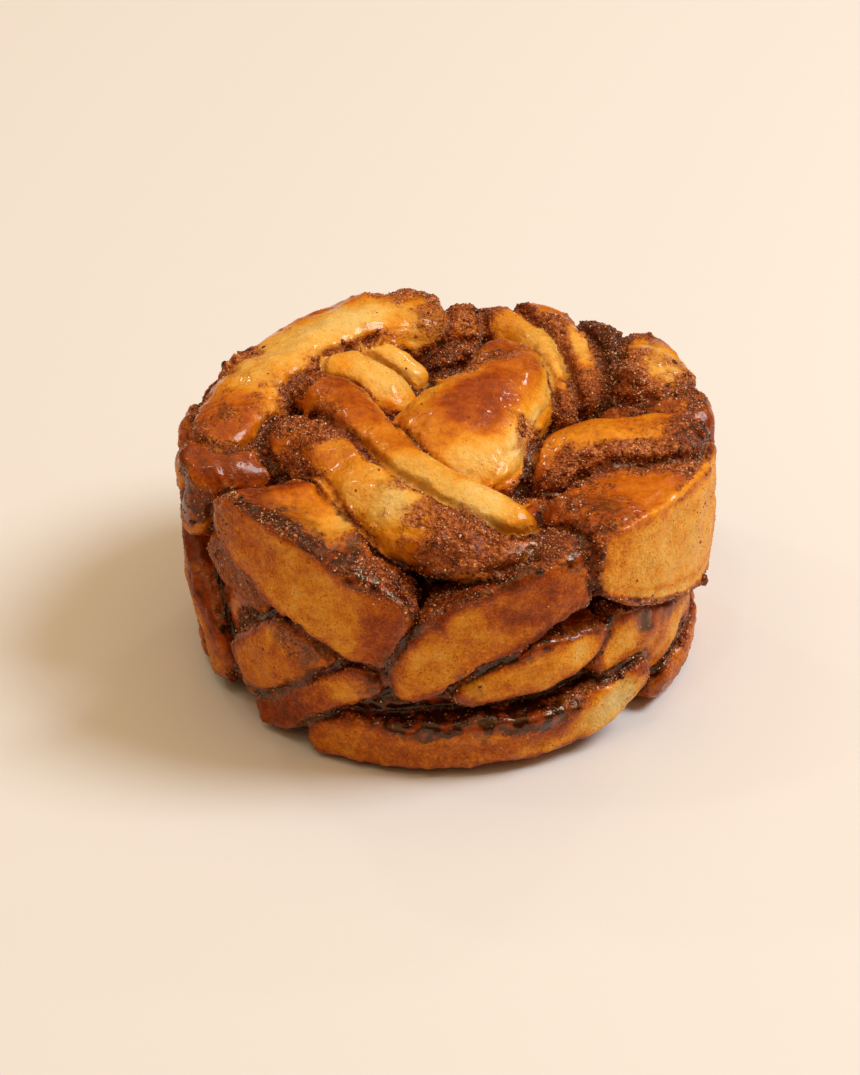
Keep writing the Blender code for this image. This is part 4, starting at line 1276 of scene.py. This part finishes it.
def make_bun():
    """The skin of the whole bun, with its covers, its relief and its material."""
    specs = top_ribbons() + rim_ribbons() + side_ribbons() + back_ribbons() + foot_ribbons()
    parts = [sweep(spec) for spec in specs]
    skin = melted_skin(parts)
    surface = Surface(skin.data, specs, parts)
    covers = {"browning": browning(surface), "pressed": pressed_wall(surface)}
    covers["cinnamon"] = cinnamon_cover(surface, covers["pressed"])
    covers["syrup"] = syrup_cover(surface, covers["cinnamon"])
    # Painted shade for the folds, kept as the "deep" cover.
    covers["deep"] = painted_shade_of_folds(surface)
    covers["merged"] = np.zeros(len(surface.points))
    covers["heap"] = smoothstep(cloud(surface.points, *HEAPS), 0.30, 0.95) * 0.8
    patched(surface, covers)
    covers["cinnamon"] *= 1.0 - 0.8 * covers["merged"]
    covers["deep"] *= 1.0 - covers["merged"]
    place_points(skin.data, roughened(surface, covers))
    give_attributes(skin.data, covers)
    ratio = SKIN_TRIANGLES / (2.0 * len(skin.data.polygons))
    if ratio < 1.0:
        applied(skin, "lighten", "DECIMATE", ratio=ratio)
    skin.data.shade_smooth()
    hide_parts("bun")
    ride_along(skin, bun_material())
    return skin


CRUMB_COLOURS = ((0.0, (78, 26, 8)), (0.5, (138, 60, 20)), (1.0, (208, 120, 52)))
CLUMP_COLOURS = ((0.0, (58, 16, 5)), (0.5, (104, 38, 12)), (1.0, (158, 74, 26)))
# Sugar grains from dark to pale amber; the palest, near-white tones are painted glints as well as pale
# sugar.
SUGAR_AND_GLINT_COLOURS = (
    (0.0, (96, 36, 10)),
    (0.5, (168, 86, 34)),
    (0.82, (234, 170, 104)),
    (1.0, (255, 236, 206)),
)
# Each kind of grain: how many, smallest and largest radius in millimetres, how far it is sunk in as
# a share of its radius, seed, material, colours, roughness and coat
GRAINS = {
    "cinnamon_crumbs": (9000, (0.16, 0.50), 0.70, 5, "cinnamon_crumb", CRUMB_COLOURS, 0.20, 0.0),
    "filling_clumps": (900, (0.40, 0.95), 0.72, 7, "filling_clump", CLUMP_COLOURS, 0.18, 0.0),
    "dough_grain": (23000, (0.09, 0.24), 0.62, 8, "dough_grain", DOUGH_COLOURS, 0.16, 0.1),
    "sugar_grains": (24000, (0.10, 0.28), 0.5, 6, "sugar_grain", SUGAR_AND_GLINT_COLOURS, 0.10, 0.2),
}


def make_grain(name, skin, weight, form, smooth=False, tones=None):
    """One kind of grain from the table, as a piece of its own."""
    count, sizes, sunk, seed, material, colours, rough, coat = GRAINS[name]
    grains = scattered(name, skin, weight, count, sizes, form, sunk, seed, tones)
    if smooth:
        grains.data.shade_smooth()
    ride_along(grains, crumb_material(material, colours, rough, coat))


def make_grains(skin):
    """Cinnamon crumbs, clumps and sugar on the crust, and fine grain on the bare dough."""
    cinnamon, syrup, pressed, browned = (
        attribute_of(skin.data, name) for name in ("cinnamon", "syrup", "pressed", "browning")
    )
    crust = smoothstep(cinnamon, 0.34, 0.85)
    points = points_of(skin.data)
    height = points[:, 2]
    heaps = 0.25 + 0.75 * smoothstep(cloud(points, 2.6, 51), -0.4, 0.5)
    cover = crust * heaps * (1.0 - 0.92 * syrup) + (0.003 + 0.005 * pressed)
    cover *= smoothstep(height, 2.0, 5.0)
    filling = crust**2 * (0.15 + smoothstep(cloud(points, *HEAPS), 0.1, 0.7))
    filling *= smoothstep(height, 3.0, 6.0)
    bare = (1.0 - crust) * (1.0 - syrup) * (0.10 + 0.90 * pressed)
    bare *= heaps * smoothstep(height, 0.8, 2.0)
    make_grain("cinnamon_crumbs", skin, cover, icosahedron(1))
    make_grain("filling_clumps", skin, filling, icosahedron(2), smooth=True)
    make_grain("dough_grain", skin, bare, octahedron(), tones=browned)
    # Some sugar grains are coloured near white as painted glints.
    make_grain("sugar_grains", skin, cover, octahedron())


# Camera and light, worked out from the photo: eye level 32 degrees up, soft key light from the right
EYE_ELEVATION = math.radians(32.0)
EYE_DISTANCE = 0.640
EYE_TARGET = Vector((-0.0018, 0.0, 0.0208))
LENS = 121.7
KEY_HEIGHT = 51.0
KEY_DISTANCE = 1.3
KEY_SIZE = 0.56
KEY_WATTS = 10.4
KEY_COLOUR = (0.98, 1.04, 1.12)
# Small bright windows that the wet crust mirrors: turn from the right side, and height, in degrees
GLINT_LIGHTS = ((60.0, 35.0), (125.0, 40.0), (170.0, 55.0), (250.0, 68.0))
GLINT_DISTANCE = 1.1
GLINT_SIZE = 0.08
GLINT_WATTS = 0.42
GLINT_COLOUR = (1.0, 0.94, 0.86)
LIT_POINT = Vector((0.0, 0.0, 0.02))
# The sky's colour, and its strength from the horizon up: dark below the first height, full above
# the second, as shares of the way to the zenith
SKY_COLOUR = (1.0, 0.68, 0.34, 1.0)
SKY = {"From Min": 0.30, "From Max": 0.95, "To Min": 0.06, "To Max": 0.93}
FLOOR_COLOUR = (238, 236, 234)
FLOOR_HALF = 2.0


def aimed(obj, place, target):
    obj.location = place
    obj.rotation_mode = "QUATERNION"
    obj.rotation_quaternion = (target - place).to_track_quat("-Z", "Y")


def make_camera():
    data = bpy.data.cameras.new("camera")
    data.lens = LENS
    data.sensor_width = 36.0
    data.clip_start = 0.01
    camera = linked_object("camera", data)
    back = Vector((0.0, -math.cos(EYE_ELEVATION), math.sin(EYE_ELEVATION)))
    aimed(camera, EYE_TARGET + back * EYE_DISTANCE, EYE_TARGET)
    bpy.context.scene.camera = camera


def area_light(name, place, size, watts, colour):
    data = bpy.data.lights.new(name, "AREA")
    data.shape = "DISK"
    data.size = size
    data.energy = watts
    data.color = colour
    aimed(linked_object(name, data), place, LIT_POINT)


def around_bun(turn, height, distance):
    """The place at a turn from the right side and a height, in degrees, and a distance."""
    turn, height = math.radians(turn), math.radians(height)
    level = math.cos(height)
    return Vector((math.cos(turn) * level, math.sin(turn) * level, math.sin(height))) * distance


def make_lights():
    """A large soft key light from the right, and small windows that the syrup mirrors."""
    area_light("key", around_bun(0.0, KEY_HEIGHT, KEY_DISTANCE), KEY_SIZE, KEY_WATTS, KEY_COLOUR)
    for turn, height in GLINT_LIGHTS:
        place = around_bun(turn, height, GLINT_DISTANCE)
        area_light("glint", place, GLINT_SIZE, GLINT_WATTS, GLINT_COLOUR)


def make_sky():
    """A warm ceiling that leaves the horizon dark, so that wet dough doesn't look grey."""
    world = bpy.data.worlds.new("room")
    bpy.context.scene.world = world
    world.use_nodes = True
    tree = world.node_tree
    place = tree.nodes.new("ShaderNodeTexCoord")
    split = tree.nodes.new("ShaderNodeSeparateXYZ")
    tree.links.new(place.outputs["Generated"], split.inputs[0])
    height = tree.nodes.new("ShaderNodeMapRange")
    height.interpolation_type = "SMOOTHSTEP"
    for name, value in SKY.items():
        height.inputs[name].default_value = value
    tree.links.new(split.outputs["Z"], height.inputs["Value"])
    sky = tree.nodes["Background"]
    sky.inputs["Color"].default_value = SKY_COLOUR
    tree.links.new(height.outputs["Result"], sky.inputs["Strength"])


def make_floor():
    """Warm cream paper under and behind the bun."""
    half = FLOOR_HALF / MM
    corners = [(-half, -half, 0.0), (half, -half, 0.0), (half, half, 0.0), (-half, half, 0.0)]
    floor = linked_object("floor", mesh_from("floor", np.array(corners), [np.array([[0, 1, 2, 3]])]))
    s = Shader("cream_paper")
    s.set("Base Color", rgba(FLOOR_COLOUR))
    s.set("Roughness", 0.9)
    s.set("Specular IOR Level", 0.1)
    floor.data.materials.append(s.material)


bun_skin = make_bun()
make_grains(bun_skin)
make_floor()
make_lights()
make_sky()
make_camera()
bpy.context.scene.view_settings.view_transform = "Standard"
